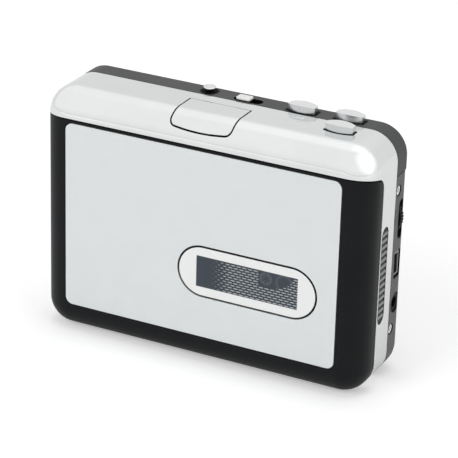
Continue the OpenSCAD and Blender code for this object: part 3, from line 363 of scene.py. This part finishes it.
tree, shader = rear_grey.node_tree, rear_grey.node_tree.nodes["Principled BSDF"]
place = add(tree, "SeparateXYZ", {0: surface_place(tree)}).outputs
port_y, shade_rim = 8.9, 0.22
wheel_gap, wheel_slot_half = 0.6, 6.5
usb_gap, usb_hole_half, usb_corner = 0.65, 2.45, 0.8
jack_hole_r, screw_gap = 3.25, 0.2
wheel_low, wheel_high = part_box("volume_wheel")
wheel_mid, wheel_half = (wheel_low + wheel_high) / 2 / MM, (wheel_high - wheel_low) / 2 / MM
slot_half = wheel_half.y + wheel_gap + shade_rim
usb_low, usb_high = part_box("usb_socket")
usb_mid_z = (usb_low.z + usb_high.z) / 2 / MM
usb_half = (usb_high.z - usb_low.z) / 2 / MM + usb_gap + shade_rim
jack_low, jack_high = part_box("headphone_jack")
jack_mid_z, jack_half = (jack_low.z + jack_high.z) / 2 / MM, jack_hole_r + shade_rim
painted_port_shade = opening(tree, place, (wheel_mid.y, wheel_mid.z), (slot_half, wheel_slot_half + shade_rim), slot_half)
usb_port = opening(tree, place, (port_y, usb_mid_z), (usb_hole_half + shade_rim, usb_half), usb_corner + shade_rim)
jack_port = opening(tree, place, (port_y, jack_mid_z), (jack_half, jack_half), jack_half)
for port in (usb_port, jack_port):
    painted_port_shade = maths(tree, "MAXIMUM", painted_port_shade, port)
painted_port_shade = maths(tree, "MULTIPLY", painted_port_shade, maths(tree, "GREATER_THAN", place["X"], 0.0))
screws_low, screws_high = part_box("case_screws")
screw_y, head_r = (screws_low.y + screws_high.y) / 2 / MM, (screws_high.y - screws_low.y) / 2 / MM
for z in (screws_low.z / MM + head_r, screws_high.z / MM - head_r):
    bore = (head_r + screw_gap + shade_rim,) * 2
    painted_port_shade = maths(tree, "MAXIMUM", painted_port_shade, opening(tree, place, (screw_y, z), bore, bore[0]))
# Painted shade: the shell's grey turns black in and round the openings and counterbores.
shell_grey = shader.inputs["Base Color"].links[0].from_socket
put(tree, shader.inputs["Base Color"], tint(tree, painted_port_shade, shell_grey, (0.004, 0.004, 0.004, 1)))
strip_tones = (0.066, 0.067, 0.067), (0.071, 0.072, 0.072)
strip_grey = moulded(
    "grained dark strip", *strip_tones, rough=0.55, grain=3200.0, depth_mm=0.03, Specular_IOR_Level=0.25
)
dress(strip_grey, "control_panel")
tree, shader = strip_grey.node_tree, strip_grey.node_tree.nodes["Principled BSDF"]
place = add(tree, "SeparateXYZ", {0: surface_place(tree)}).outputs
# The switch's slot is painted black in and round it, as painted shade in the slot.
knob_low, knob_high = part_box("mode_switch_knob")
slot_x, slot_half_l, slot_half_w, slot_shade_rim = 4.7, 4.9, 1.8, 0.12
slot_mid = (slot_x, (knob_low.y + knob_high.y) / 2 / MM)
slot_size = (slot_half_l + slot_shade_rim, slot_half_w + slot_shade_rim)
painted_slot_shade = opening(tree, place, slot_mid, slot_size, slot_size[1], "XY")
plain_strip = shader.inputs["Base Color"].links[0].from_socket
put(tree, shader.inputs["Base Color"], tint(tree, painted_slot_shade, plain_strip, (0.003, 0.003, 0.003, 1)))

# Battery cover: the shell's grey ABS, a loose lid over the cells at the foot of the back.
# Thumb ribs and an arrow for the way it opens are moulded into its skin.
cover_low, cover_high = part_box("battery_cover")
cover_mid = (cover_low + cover_high) / 2
lid_grey, tree, shader = finish("ribbed grey lid", Specular_IOR_Level=0.25)
skin = place_effect(tree, grain_group, Grain=3200.0)
put(tree, shader.inputs["Base Color"], tint(tree, skin["Mottle"], *((*tone, 1) for tone in shell_tones)))
rubbed = place_effect(tree, handling)
put(tree, shader.inputs["Roughness"], span(tree, rubbed["Smudge"], 0.0, 1.0, 0.55, 0.44))
place = add(tree, "SeparateXYZ", {0: surface_place(tree)}).outputs
beside = maths(tree, "DIVIDE", maths(tree, "SUBTRACT", place["X"], cover_mid.x), MM)
above = maths(tree, "DIVIDE", maths(tree, "SUBTRACT", place["Z"], cover_mid.z), MM)
rib_pitch, ribs_half_w, ribs_half_h = 1.3, 9.0, 3.3
waves = span(tree, maths(tree, "PINGPONG", above, rib_pitch / 2), 0.15, 0.45)
ribs = maths(tree, "MULTIPLY", waves, maths(tree, "LESS_THAN", maths(tree, "ABSOLUTE", beside), ribs_half_w))
ribs = maths(tree, "MULTIPLY", ribs, maths(tree, "LESS_THAN", maths(tree, "ABSOLUTE", above), ribs_half_h))
arrow_x, arrow_half, arrow_slope, grain_share = 14.0, 2.2, 0.6, 0.08
sideways = maths(tree, "ABSOLUTE", maths(tree, "SUBTRACT", maths(tree, "ABSOLUTE", beside), arrow_x))
slope = maths(tree, "ADD", sideways, maths(tree, "MULTIPLY", above, -arrow_slope))
arrow = maths(tree, "LESS_THAN", slope, arrow_half / 2)
arrow = maths(tree, "MULTIPLY", arrow, maths(tree, "LESS_THAN", above, arrow_half))
marks = maths(tree, "MAXIMUM", ribs, arrow)
grained = maths(tree, "MULTIPLY", skin["Height"], grain_share)
sunk = maths(tree, "ADD", maths(tree, "MULTIPLY", marks, -1.0), grained)
relief(tree, shader, sunk, depth_mm=0.35)
dress(lid_grey, "battery_cover")

# Grips: ribbed inserts in satin grey plastic, pressed into recesses in the frame's sides.
# The grooves between the ribs are painted dark towards their foot, as painted shade, and are rougher there;
# the crests keep the plain grey and a smoother skin.
grip, tree, shader = finish("ribbed grip plastic")
skin = place_effect(tree, grain_group, Grain=2200.0)
place = add(tree, "SeparateXYZ", {0: surface_place(tree)}).outputs
grip_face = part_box("side_grip_right")[1].x / MM
sunk = maths(tree, "SUBTRACT", grip_face, maths(tree, "DIVIDE", maths(tree, "ABSOLUTE", place["X"]), MM))
crest = tint(tree, skin["Mottle"], (0.24, 0.242, 0.245, 1), (0.28, 0.282, 0.285, 1))
crest_depth, foot_depth = 0.12, 0.42
# Painted shade: the grooves darken towards the foot of the ribs.
groove_shade_share = span(tree, sunk, crest_depth, foot_depth)
put(tree, shader.inputs["Base Color"], tint(tree, groove_shade_share, crest, (0.022, 0.022, 0.023, 1)))
put(tree, shader.inputs["Roughness"], span(tree, groove_shade_share, 0.0, 1.0, 0.34, 0.6))
relief(tree, shader, skin["Height"], depth_mm=0.02)
dress(grip, "side_grip_right", "side_grip_left")

# Switch and bezel: a slider with a white cap, which runs in a slot of the strip; below the cap it is painted
# black, as painted shade in the slot.
# The bezel is a dished ring in black acetal, set in round the small button.
knob_paint, tree, shader = finish("white cap over painted slot shade", Specular_IOR_Level=0.3)
place = add(tree, "SeparateXYZ", {0: surface_place(tree)}).outputs
# Painted shade: below the cap, down in the slot, the slider is coloured black.
shade_painted_to, white_from = case_top + 0.3, case_top + 0.36
capped = span(tree, place["Z"], shade_painted_to * MM, white_from * MM)
skin = place_effect(tree, grain_group, Grain=2600.0)
cap_white = tint(tree, skin["Mottle"], (0.86, 0.86, 0.85, 1), (0.9, 0.9, 0.89, 1))
put(tree, shader.inputs["Base Color"], tint(tree, capped, (0.005, 0.005, 0.005, 1), cap_white))
put(tree, shader.inputs["Roughness"], span(tree, skin["Mottle"], 0.0, 1.0, 0.4, 0.46))
relief(tree, shader, skin["Height"], depth_mm=0.006)
dress(knob_paint, "mode_switch_knob")
black_tones = (0.0045, 0.0047, 0.005), (0.006, 0.0062, 0.0065)
black_acetal = moulded(
    "black acetal", *black_tones, rough=0.5, grain=2600.0, depth_mm=0.01, Specular_IOR_Level=0.12
)
dress(black_acetal, "direction_bezel")

# Volume wheel: a knurled disc in black acetal that stands a little out of its slot.
# It turns on a flat potentiometer inside the shell.
dress(black_acetal, "volume_wheel", "volume_pot")

# Side screws: short cross heads in nickel plated steel, two on each side.
# They sit sunk in counterbores of the rear shell, and hold it to the frame.
nickel_tones = (0.8, 0.8, 0.79), (0.86, 0.86, 0.85)
nickel = moulded(
    "bright nickel plate", *nickel_tones, rough=0.22, grain=1800.0, depth_mm=0.003, Metallic=1.0
)
dress(nickel, "case_screws")

# USB socket: a folded tin plated shell round a black tongue, soldered to the board.
# Five gold plated strips lie on the tongue and bow up at their tips.
tin, tree, shader = finish("tin plate round a black tongue and painted shade")
place = add(tree, "SeparateXYZ", {0: surface_place(tree)}).outputs
# Deeper than the lip everything is black and dull: the tongue's own black, and painted shade on the shell's
# inner walls.
throat_depth, lip_depth = 0.45, 0.3
mouth = span(tree, place["X"], usb_high.x - throat_depth * MM, usb_high.x - lip_depth * MM)
skin = place_effect(tree, grain_group, Grain=1800.0)
plate_grey = tint(tree, skin["Mottle"], (0.5, 0.5, 0.51, 1), (0.58, 0.58, 0.59, 1))
put(tree, shader.inputs["Base Color"], tint(tree, mouth, (0.004, 0.004, 0.0045, 1), plate_grey))
put(tree, shader.inputs["Metallic"], mouth)
put(tree, shader.inputs["Roughness"], span(tree, mouth, 0.0, 1.0, 0.7, 0.3))
relief(tree, shader, skin["Height"], depth_mm=0.003)
dress(tin, "usb_socket")
gold_tones = (0.72, 0.5, 0.16), (0.78, 0.56, 0.2)
gold = moulded("gold plate", *gold_tones, rough=0.25, grain=1800.0, depth_mm=0.002, Metallic=1.0)
tongue_half, strip_layers = 0.5, ((0.0, 0.24), (0.06, 0.2))
tongue_y = (usb_low.y + usb_high.y) / 2 / MM - tongue_half
strip_path = [(-6.0, 0.0), (-2.2, 0.0), (-1.7, 0.14), (-1.2, 0.0)]
vertices, faces = [], []
for lane in range(-2, 3):
    for along, bow in strip_path:
        x = usb_high.x / MM + along
        for lift, half in strip_layers:
            vertices += [(x, tongue_y - bow - lift, usb_mid_z + lane + side * half) for side in (-1, 1)]
    first = len(vertices) - 4 * len(strip_path)
    for step in range(len(strip_path) - 1):
        a, b = first + 4 * step, first + 4 * step + 4
        faces += [(a + 2, b + 2, b + 3, a + 3), (a, b, b + 2, a + 2)]
        faces += [(a + 3, b + 3, b + 1, a + 1), (a, a + 1, b + 1, b)]
    faces += [(first, first + 2, first + 3, first + 1), (b, b + 1, b + 3, b + 2)]
piece("usb_contacts", "case", gold, vertices, faces)

# Headphone jack: a black acetal moulding with a smooth bore.
# Its round nose lies flush in the shell's side.
dress(black_acetal, "headphone_jack")

# Door: a glossy black moulding that swings on two steel pins at the base.
# A silver face plate lies in a shallow recess on its front, and leaf springs and guides sit inside.
door_tones = (0.0062, 0.0068, 0.0078), (0.0074, 0.008, 0.009)
door_black = moulded(
    "black door moulding", *door_tones, rough=0.42, grain=2400.0, depth_mm=0.008, Specular_IOR_Level=0.14
)
dress(door_black, "door_shell", "cassette_guides")

face_silver, tree, shader = finish("satin silver lacquer", Metallic=0.35)
skin = place_effect(tree, grain_group, Grain=5200.0)
rubbed = place_effect(tree, handling, **{"Smudge size": 28.0})
lacquer = tint(tree, skin["Mottle"], (0.8, 0.83, 0.836, 1), (0.812, 0.842, 0.847, 1))
put(tree, shader.inputs["Base Color"], lacquer)
put(tree, shader.inputs["Roughness"], span(tree, rubbed["Smudge"], 0.0, 1.0, 0.46, 0.4))
relief(tree, shader, skin["Height"], depth_mm=0.004)
dress(face_silver, "door_face_plate")

# Window: a clear acrylic lens flush with the face plate, over a printed film.
# The print is white with a black line round its edge, and a slate field that carries rows of pale dashes.
film, tree, shader = finish(
    "print under clear acrylic", Roughness=0.3, Specular_IOR_Level=0.1, Coat_Weight=0.6, Coat_Roughness=0.03
)
place = add(tree, "SeparateXYZ", {0: surface_place(tree)}).outputs
window_low, window_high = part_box("window_screen")
window_mid = (window_low + window_high) / 2
across = maths(tree, "DIVIDE", maths(tree, "SUBTRACT", place["X"], window_mid.x), MM)
upward = maths(tree, "DIVIDE", maths(tree, "SUBTRACT", place["Z"], window_mid.z), MM)
field_half_w, field_half_h = 17.55, 5.3
edge = 0.06


def inside(value, half):
    """1 where a distance is less than half, with a narrow soft edge."""
    return span(tree, maths(tree, "ABSOLUTE", value), half - edge, half + edge, 1.0, 0.0)


def reach(centre_u, centre_v, half_u, half_v, u=across, v=upward):
    """How far a point lies from the centre of an ellipse, 1 on its line."""
    along = maths(tree, "DIVIDE", maths(tree, "SUBTRACT", u, centre_u), half_u)
    aside = maths(tree, "DIVIDE", maths(tree, "SUBTRACT", v, centre_v), half_v)
    return flat_length(tree, along, aside)


def dash_rows(first_u, first_v, growth):
    """Pale dashes in rows, of full size where growth is 1."""
    pitch, row = 1.96, 1.72
    u = maths(tree, "PINGPONG", maths(tree, "SUBTRACT", across, first_u), pitch / 2)
    v = maths(tree, "PINGPONG", maths(tree, "SUBTRACT", upward, first_v), row / 2)
    size = reach(0.0, 0.0, 0.84, 0.18, u, v)
    return span(tree, maths(tree, "SUBTRACT", size, growth), -0.15, 0.1, 1.0, 0.0)


field = maths(tree, "MULTIPLY", inside(across, field_half_w), inside(upward, field_half_h))
growth = span(tree, across, -12.8, -6.0)
first_row, next_row = (-6.7, 4.57), (-5.72, 3.71)
dashes = maths(tree, "MAXIMUM", dash_rows(*first_row, growth), dash_rows(*next_row, growth))
clear_patch, next_reel = (6.5, 5.3, 9.6, 5.6), (12.9, 2.5, 2.6, 2.6)
patch = span(tree, reach(*clear_patch), 0.98, 1.02, 1.0, 0.0)
bare = maths(tree, "MULTIPLY", patch, span(tree, across, 4.0, 4.2))
dashes = maths(tree, "MULTIPLY", dashes, maths(tree, "SUBTRACT", 1.0, bare))
hub_u, hub_v, hub_r, teeth = 6.6, 2.8, 2.2, 6
from_hub = reach(hub_u, hub_v, hub_r, hub_r)
hub_up, hub_out = maths(tree, "SUBTRACT", upward, hub_v), maths(tree, "SUBTRACT", across, hub_u)
bearing = maths(tree, "ARCTAN2", hub_up, hub_out)
tooth = span(tree, maths(tree, "PINGPONG", bearing, math.pi / teeth), 0.17, 0.3, 1.0, 0.0)
tooth = maths(tree, "MULTIPLY", tooth, span(tree, from_hub, 0.24, 0.32))
hub = maths(tree, "MAXIMUM", tooth, span(tree, from_hub, 0.62, 0.7))
hub = maths(tree, "MULTIPLY", hub, span(tree, from_hub, 0.94, 1.04, 0.5, 0.0))
reel_edge = maths(tree, "ABSOLUTE", maths(tree, "SUBTRACT", reach(*next_reel), 1.0))
seen = maths(tree, "MAXIMUM", hub, span(tree, reel_edge, 0.06, 0.2, 0.45, 0.0))
reel = maths(tree, "MULTIPLY", seen, bare)
slate = tint(tree, reel, (0.038, 0.051, 0.068, 1), (0.12, 0.135, 0.15, 1))
slate = tint(tree, maths(tree, "MULTIPLY", dashes, 0.75), slate, (0.6, 0.63, 0.63, 1))
lens_low, lens_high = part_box("door_window")
lens_r = (lens_high.z - lens_low.z) / 2 / MM
lens_run = (lens_high.x - lens_low.x) / 2 / MM - lens_r
past_run = maths(tree, "MAXIMUM", maths(tree, "SUBTRACT", maths(tree, "ABSOLUTE", across), lens_run), 0.0)
border = span(tree, reach(0.0, 0.0, lens_r, lens_r, past_run), 0.962, 0.97)
printed = tint(tree, field, (0.95, 0.965, 0.955, 1), slate)
put(tree, shader.inputs["Base Color"], tint(tree, border, printed, (0.006, 0.0065, 0.0075, 1)))
dress(film, "window_screen", "door_window")

# Hinge and latch: steel pins at the door's foot and behind the release tab, with its torsion spring.
# Two bowed leaf springs inside the door press the cassette back.
steel_tones = (0.52, 0.53, 0.54), (0.6, 0.61, 0.62)
steel = moulded("drawn steel", *steel_tones, rough=0.3, grain=1800.0, depth_mm=0.003, Metallic=1.0)
dress(steel, "hinge_pins", "release_tab_pin", "release_spring", "cassette_springs")

# Button springs: drawn steel wire in five turns, closed at both ends, round the stems under the buttons.
# Each one stands on the bracket.
dress(steel, "play_spring", "stop_spring", "wind_spring", "direction_spring")
wire_r, turns, closed_turns, ring, sides, slack = 0.25, 5, 2, 28, 10, 0.02
for button, travel in (("play", 1.8), ("stop", 1.8), ("wind", 1.8), ("direction", 0.9)):
    low, high = (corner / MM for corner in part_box(button + "_spring"))
    x, y, height = (low.x + high.x) / 2, (low.y + high.y) / 2, high.z - low.z
    coil_r, open_rise = (high.x - low.x) / 2 - wire_r, height - (2 * closed_turns + 2) * wire_r
    points, faces = [], []
    for step in range(turns * ring + 1):
        lap, angle = step / ring, math.tau * step / ring
        closed = min(lap, 1) + max(lap - turns + 1, 0)
        wound = min(max((lap - 1) / (turns - closed_turns), 0), 1)
        z = low.z + wire_r + 2 * wire_r * closed + open_rise * wound
        for side in range(sides):
            lie = math.tau * side / sides
            out = coil_r + wire_r * math.cos(lie)
            points.append((x + out * math.cos(angle), y + out * math.sin(angle), z + wire_r * math.sin(lie)))
            if step:
                here, after = step * sides + side, step * sides + (side + 1) % sides
                faces.append((here - sides, here, after, after - sides))
    faces += [tuple(range(sides)), tuple(reversed(range(len(points) - sides, len(points))))]
    coil = piece(button + "_spring_coil", "case", steel, points, faces)
    coil.data.shade_smooth()
    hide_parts(button + "_spring")
    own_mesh(coil)

# Switch can and chassis screws: a small plated pressing, and turned steel screws.
# The screws hold the chassis to the deck, and the board to its posts.
dress(steel, "mode_switch_body", "chassis_screws")

# Deck: a black moulded plate that the cassette lies against.
# The reel spindles come through round holes in it.
deck_tones = (0.014, 0.0145, 0.015), (0.019, 0.0195, 0.02)
deck_black = moulded("black deck moulding", *deck_tones, rough=0.5, grain=1500.0, depth_mm=0.03)
dress(deck_black, "deck_plate")

# Chassis, button bracket and head carriage: pressed from zinc plated sheet.
# The zinc has a faint spangle that varies in tone.
sheet, tree, shader = finish("zinc plated sheet", Metallic=1.0)
spangle = add(tree, "TexVoronoi", {"Vector": surface_place(tree), "Scale": 420.0})
flake = add(tree, "SeparateXYZ", {0: spangle.outputs["Color"]}).outputs["X"]
put(tree, shader.inputs["Base Color"], tint(tree, flake, (0.49, 0.5, 0.51, 1), (0.53, 0.54, 0.54, 1)))
put(tree, shader.inputs["Roughness"], span(tree, flake, 0.0, 1.0, 0.36, 0.4))
relief(tree, shader, flake, depth_mm=0.0006)
dress(sheet, "mech_chassis", "button_bracket", "head_carriage")

# Reels and idler: two spindles and a gear, moulded in white acetal.
# The spindles' shafts run in holes of the chassis, and the gear turns on its stud.
white_tones = (0.8, 0.8, 0.79), (0.84, 0.84, 0.83)
white_acetal = moulded("white acetal", *white_tones, rough=0.35, grain=2600.0, depth_mm=0.006)
dress(white_acetal, "reel_spindle_left", "reel_spindle_right", "idler_gear")


# Flywheels, motor and pulley: turned metal with fine rings round each axis.
# A rubber belt joins them, and bronze bushes carry the flywheels' shafts.
def turned(name, dark, light, node):
    """Metal turned on a lathe about the Y axis through the middle of a CAD piece."""
    low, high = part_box(node)
    middle = (low + high) / 2
    material, tree, shader = finish(name, Metallic=1.0)
    out = add(tree, "VectorMath", {0: surface_place(tree), 1: middle}, operation="SUBTRACT").outputs["Vector"]
    flat = add(tree, "VectorMath", {0: out, 1: (1, 0, 1)}, operation="MULTIPLY").outputs["Vector"]
    radius = add(tree, "VectorMath", {0: flat}, operation="LENGTH").outputs["Value"]
    cut_pitch = 0.25
    cut = maths(tree, "DIVIDE", radius, cut_pitch * MM)
    cuts = add(tree, "TexNoise", {"W": cut, "Scale": 1.0}, noise_dimensions="1D")
    put(tree, shader.inputs["Base Color"], tint(tree, cuts.outputs["Fac"], (*dark, 1), (*light, 1)))
    put(tree, shader.inputs["Roughness"], span(tree, cuts.outputs["Fac"], 0.3, 0.7, 0.22, 0.34))
    relief(tree, shader, cuts.outputs["Fac"], depth_mm=0.006)
    dress(material, node)


for node in ("capstan_flywheel_left", "capstan_flywheel_right", "motor"):
    turned("turned steel of " + node, (0.5, 0.51, 0.52), (0.62, 0.63, 0.64), node)
turned("turned brass of motor_pulley", (0.6, 0.42, 0.16), (0.7, 0.52, 0.22), "motor_pulley")
bronze_tones = (0.42, 0.28, 0.11), (0.52, 0.36, 0.16)
bronze = moulded("sintered bronze", *bronze_tones, rough=0.4, grain=1800.0, depth_mm=0.008, Metallic=1.0)
dress(bronze, "capstan_bushes")
rubber_tones = (0.012, 0.012, 0.012), (0.018, 0.018, 0.018)
rubber = moulded("black rubber", *rubber_tones, rough=0.7, grain=2400.0, depth_mm=0.02)
dress(rubber, "drive_belt", "pinch_roller_left", "pinch_roller_right")

# Tape head: a polished permalloy block under the carriage's shelf.
# Its face carries the pale lines of the pole gaps.
head_metal, tree, shader = finish("polished permalloy", Metallic=1.0)
head_low, head_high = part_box("tape_head")
place = add(tree, "SeparateXYZ", {0: surface_place(tree)}).outputs
head_mid_x = (head_low.x + head_high.x) / 2
from_mid = maths(tree, "ABSOLUTE", maths(tree, "SUBTRACT", place["X"], head_mid_x))
gap_half = 0.15
gap_line = span(tree, from_mid, gap_half * MM, 2 * gap_half * MM, 1.0, 0.0)
put(tree, shader.inputs["Base Color"], tint(tree, gap_line, (0.62, 0.62, 0.61, 1), (0.3, 0.28, 0.24, 1)))
rubbed = place_effect(tree, handling)
put(tree, shader.inputs["Roughness"], span(tree, rubbed["Smudge"], 0.0, 1.0, 0.14, 0.24))
dress(head_metal, "tape_head")

# Circuit board: glass fibre under green solder mask, with copper tracks that stand up a little.
# Three posts in the shell hold it.
board, tree, shader = finish("green circuit board", Coat_Weight=0.4, Coat_Roughness=0.15)
place = add(tree, "SeparateXYZ", {0: surface_place(tree)}).outputs
lie = add(tree, "CombineXYZ", {0: place["X"], 1: place["Z"]}).outputs[0]
tracks = add(tree, "TexBrick", {"Vector": lie, "Scale": 150.0, "Mortar Size": 0.06, "Mortar Smooth": 0.2})
track = span(tree, tracks.outputs["Fac"], 0.0, 1.0)
put(tree, shader.inputs["Base Color"], tint(tree, track, (0.01, 0.06, 0.03, 1), (0.03, 0.13, 0.06, 1)))
rubbed = place_effect(tree, handling)
put(tree, shader.inputs["Roughness"], span(tree, rubbed["Smudge"], 0.0, 1.0, 0.35, 0.5))
relief(tree, shader, track, depth_mm=0.03)
dress(board, "main_pcb")

# Cells and contacts: two plain sleeved cells end to end, between nickel plated spring plates.
# Each sleeve is dark, with a pale band at its positive end.
cells_low, cells_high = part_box("battery_cells")
sleeve, tree, shader = finish("printed cell sleeve", Coat_Weight=0.6, Coat_Roughness=0.1)
place = add(tree, "SeparateXYZ", {0: surface_place(tree)}).outputs
cell_length = (cells_high.x - cells_low.x) / 2
along = maths(tree, "MODULO", maths(tree, "SUBTRACT", place["X"], cells_low.x), cell_length)
band_start, cap_end = cell_length * 0.72, 1.6
band = span(tree, along, band_start, band_start + 0.2 * MM)
metal = span(tree, along, cell_length - cap_end * MM, cell_length - (cap_end - 0.1) * MM)
printed = tint(tree, band, (0.07, 0.1, 0.13, 1), (0.58, 0.59, 0.59, 1))
put(tree, shader.inputs["Base Color"], tint(tree, metal, printed, (0.6, 0.6, 0.6, 1)))
put(tree, shader.inputs["Metallic"], metal)
rubbed = place_effect(tree, handling)
put(tree, shader.inputs["Roughness"], span(tree, rubbed["Smudge"], 0.0, 1.0, 0.3, 0.42))
dress(sleeve, "battery_cells")
dress(nickel, "battery_contacts")

# Shading of the CAD pieces: their wide flat faces lead, and stay level up to the rounded edges.
# This comes once every edge is rounded, because it reads the finished mesh.
for node in nodes.values():
    flat_first = node.modifiers.new("flat faces first", "WEIGHTED_NORMAL")
    flat_first.mode, flat_first.keep_sharp = "FACE_AREA", True


# Floor and light: a pale sheet under the player in an even white studio.
# The sheet reads white to the lens, greyer in the chrome, and still takes the player's shadow.
def seen_plainly(tree):
    """1 for rays that look straight at, off or through a surface, 0 for those that only light it."""
    path = add(tree, "LightPath").outputs
    mirrored = maths(tree, "MAXIMUM", path["Is Glossy Ray"], path["Is Transmission Ray"])
    return maths(tree, "MAXIMUM", path["Is Camera Ray"], mirrored)


floor_size = 2.4
bpy.ops.mesh.primitive_plane_add(size=floor_size, location=(0, 0, cad_low.z))
floor = bpy.context.object
floor.name = "floor"
paper, tree, shader = finish("pale paper", Base_Color=(0.84, 0.84, 0.84, 1), Roughness=0.9)
shader.inputs["Emission Color"].default_value = (1, 1, 1, 1)
glossy = add(tree, "LightPath").outputs["Is Glossy Ray"]
away = add(tree, "VectorMath", {0: surface_place(tree)}, operation="LENGTH").outputs["Value"]
ahead = add(tree, "SeparateXYZ", {0: surface_place(tree)}).outputs["Y"]
mirrored = span(tree, away, 0.15, 1.2, 0.16, 0.42)
mirrored = maths(tree, "SUBTRACT", mirrored, span(tree, ahead, -0.4, -0.05, 0.12, 0.0))
lit = maths(tree, "MULTIPLY", seen_plainly(tree), 0.35)
lift = add(tree, "Mix", {0: glossy, 2: lit, 3: mirrored}).outputs[0]
put(tree, shader.inputs["Emission Strength"], lift)
floor.data.materials.append(paper)
floor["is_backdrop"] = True

world = bpy.data.worlds.new("white studio")
bpy.context.scene.world = world
world.use_nodes = True
tree = world.node_tree
sky = tree.nodes["Background"]
sky.inputs["Color"].default_value = (1, 1, 1, 1)
# What the chrome mirrors, by degrees from back to front: a wall, a long tube, a panel and a dimmer front
heading = add(tree, "TexCoord").outputs["Generated"]
toward = add(tree, "SeparateXYZ", {0: heading}).outputs
arch = maths(tree, "DEGREES", maths(tree, "ARCTAN2", toward["Z"], toward["Y"]))
wall = span(tree, arch, 27.0, 46.0, 0.84, 1.02)
front_wall = span(tree, arch, 160.0, 182.0, 0.0, 0.1)
tube = span(tree, maths(tree, "ABSOLUTE", maths(tree, "SUBTRACT", arch, 67.0)), 13.0, 24.0, 0.23, 0.0)
tube = maths(tree, "MULTIPLY", tube, span(tree, toward["X"], -0.48, -0.26))
panel_way = (0.78, 0.0, 0.626)
near_panel = add(tree, "VectorMath", {0: heading, 1: panel_way}, operation="DOT_PRODUCT").outputs["Value"]
panel = span(tree, near_panel, 0.62, 0.86, 0.0, 0.26)
room = maths(tree, "SUBTRACT", maths(tree, "ADD", wall, maths(tree, "MAXIMUM", tube, panel)), front_wall)
glossy = add(tree, "LightPath").outputs["Is Glossy Ray"]
plain = span(tree, seen_plainly(tree), 0.0, 1.0, 0.42, 1.0)
put(tree, sky.inputs["Strength"], add(tree, "Mix", {0: glossy, 2: plain, 3: room}).outputs[0])


def softbox(name, place, aim, size, watts):
    """A square area lamp that faces a point, and stays out of reflections."""
    lamp = bpy.data.lights.new(name, "AREA")
    lamp.size, lamp.energy = size, watts
    holder = bpy.data.objects.new(name, lamp)
    bpy.context.scene.collection.objects.link(holder)
    holder.location = place
    holder.rotation_mode = "QUATERNION"
    holder.rotation_quaternion = (Vector(aim) - Vector(place)).to_track_quat("-Z", "Y")
    holder.visible_glossy = False


middle = (cad_low + cad_high) / 2
softbox("key softbox", (-0.45, -0.9, 0.75), middle, 0.7, 4.8)
softbox("side softbox", (0.9, -0.35, 0.5), middle, 0.6, 2.0)
softbox("top softbox", (0.0, 0.1, 1.0), middle, 0.7, 2.6)

# Camera: a long lens from above and to the right, as in the photograph.
# It is placed from the middle of the case's front, and leans a little to one side.
azimuth, elevation, roll = math.radians(26.135), math.radians(24.294), math.radians(1.651)
aim = Vector((0, cad_low.y, 41.41 * MM))
shift_right, shift_up, distance = -9.643 * MM, -4.831 * MM, 743.11 * MM
back = Vector((
    math.sin(azimuth) * math.cos(elevation), -math.cos(azimuth) * math.cos(elevation), math.sin(elevation)
))
level_right = (-back).cross(Vector((0, 0, 1))).normalized()
level_up = level_right.cross(-back)
right = math.cos(roll) * level_right + math.sin(roll) * level_up
up = -math.sin(roll) * level_right + math.cos(roll) * level_up
camera = bpy.data.objects.new("camera", bpy.data.cameras.new("camera"))
bpy.context.scene.collection.objects.link(camera)
camera.data.sensor_width, camera.data.lens = 36.0, 187.29
camera.data.clip_start = 0.01
stand = aim - shift_right * right - shift_up * up + distance * back
camera.matrix_world = Matrix.Translation(stand) @ Matrix((right, up, back)).transposed().to_4x4()
bpy.context.scene.camera = camera
bpy.context.scene.view_settings.view_transform = "Standard"

low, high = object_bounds()
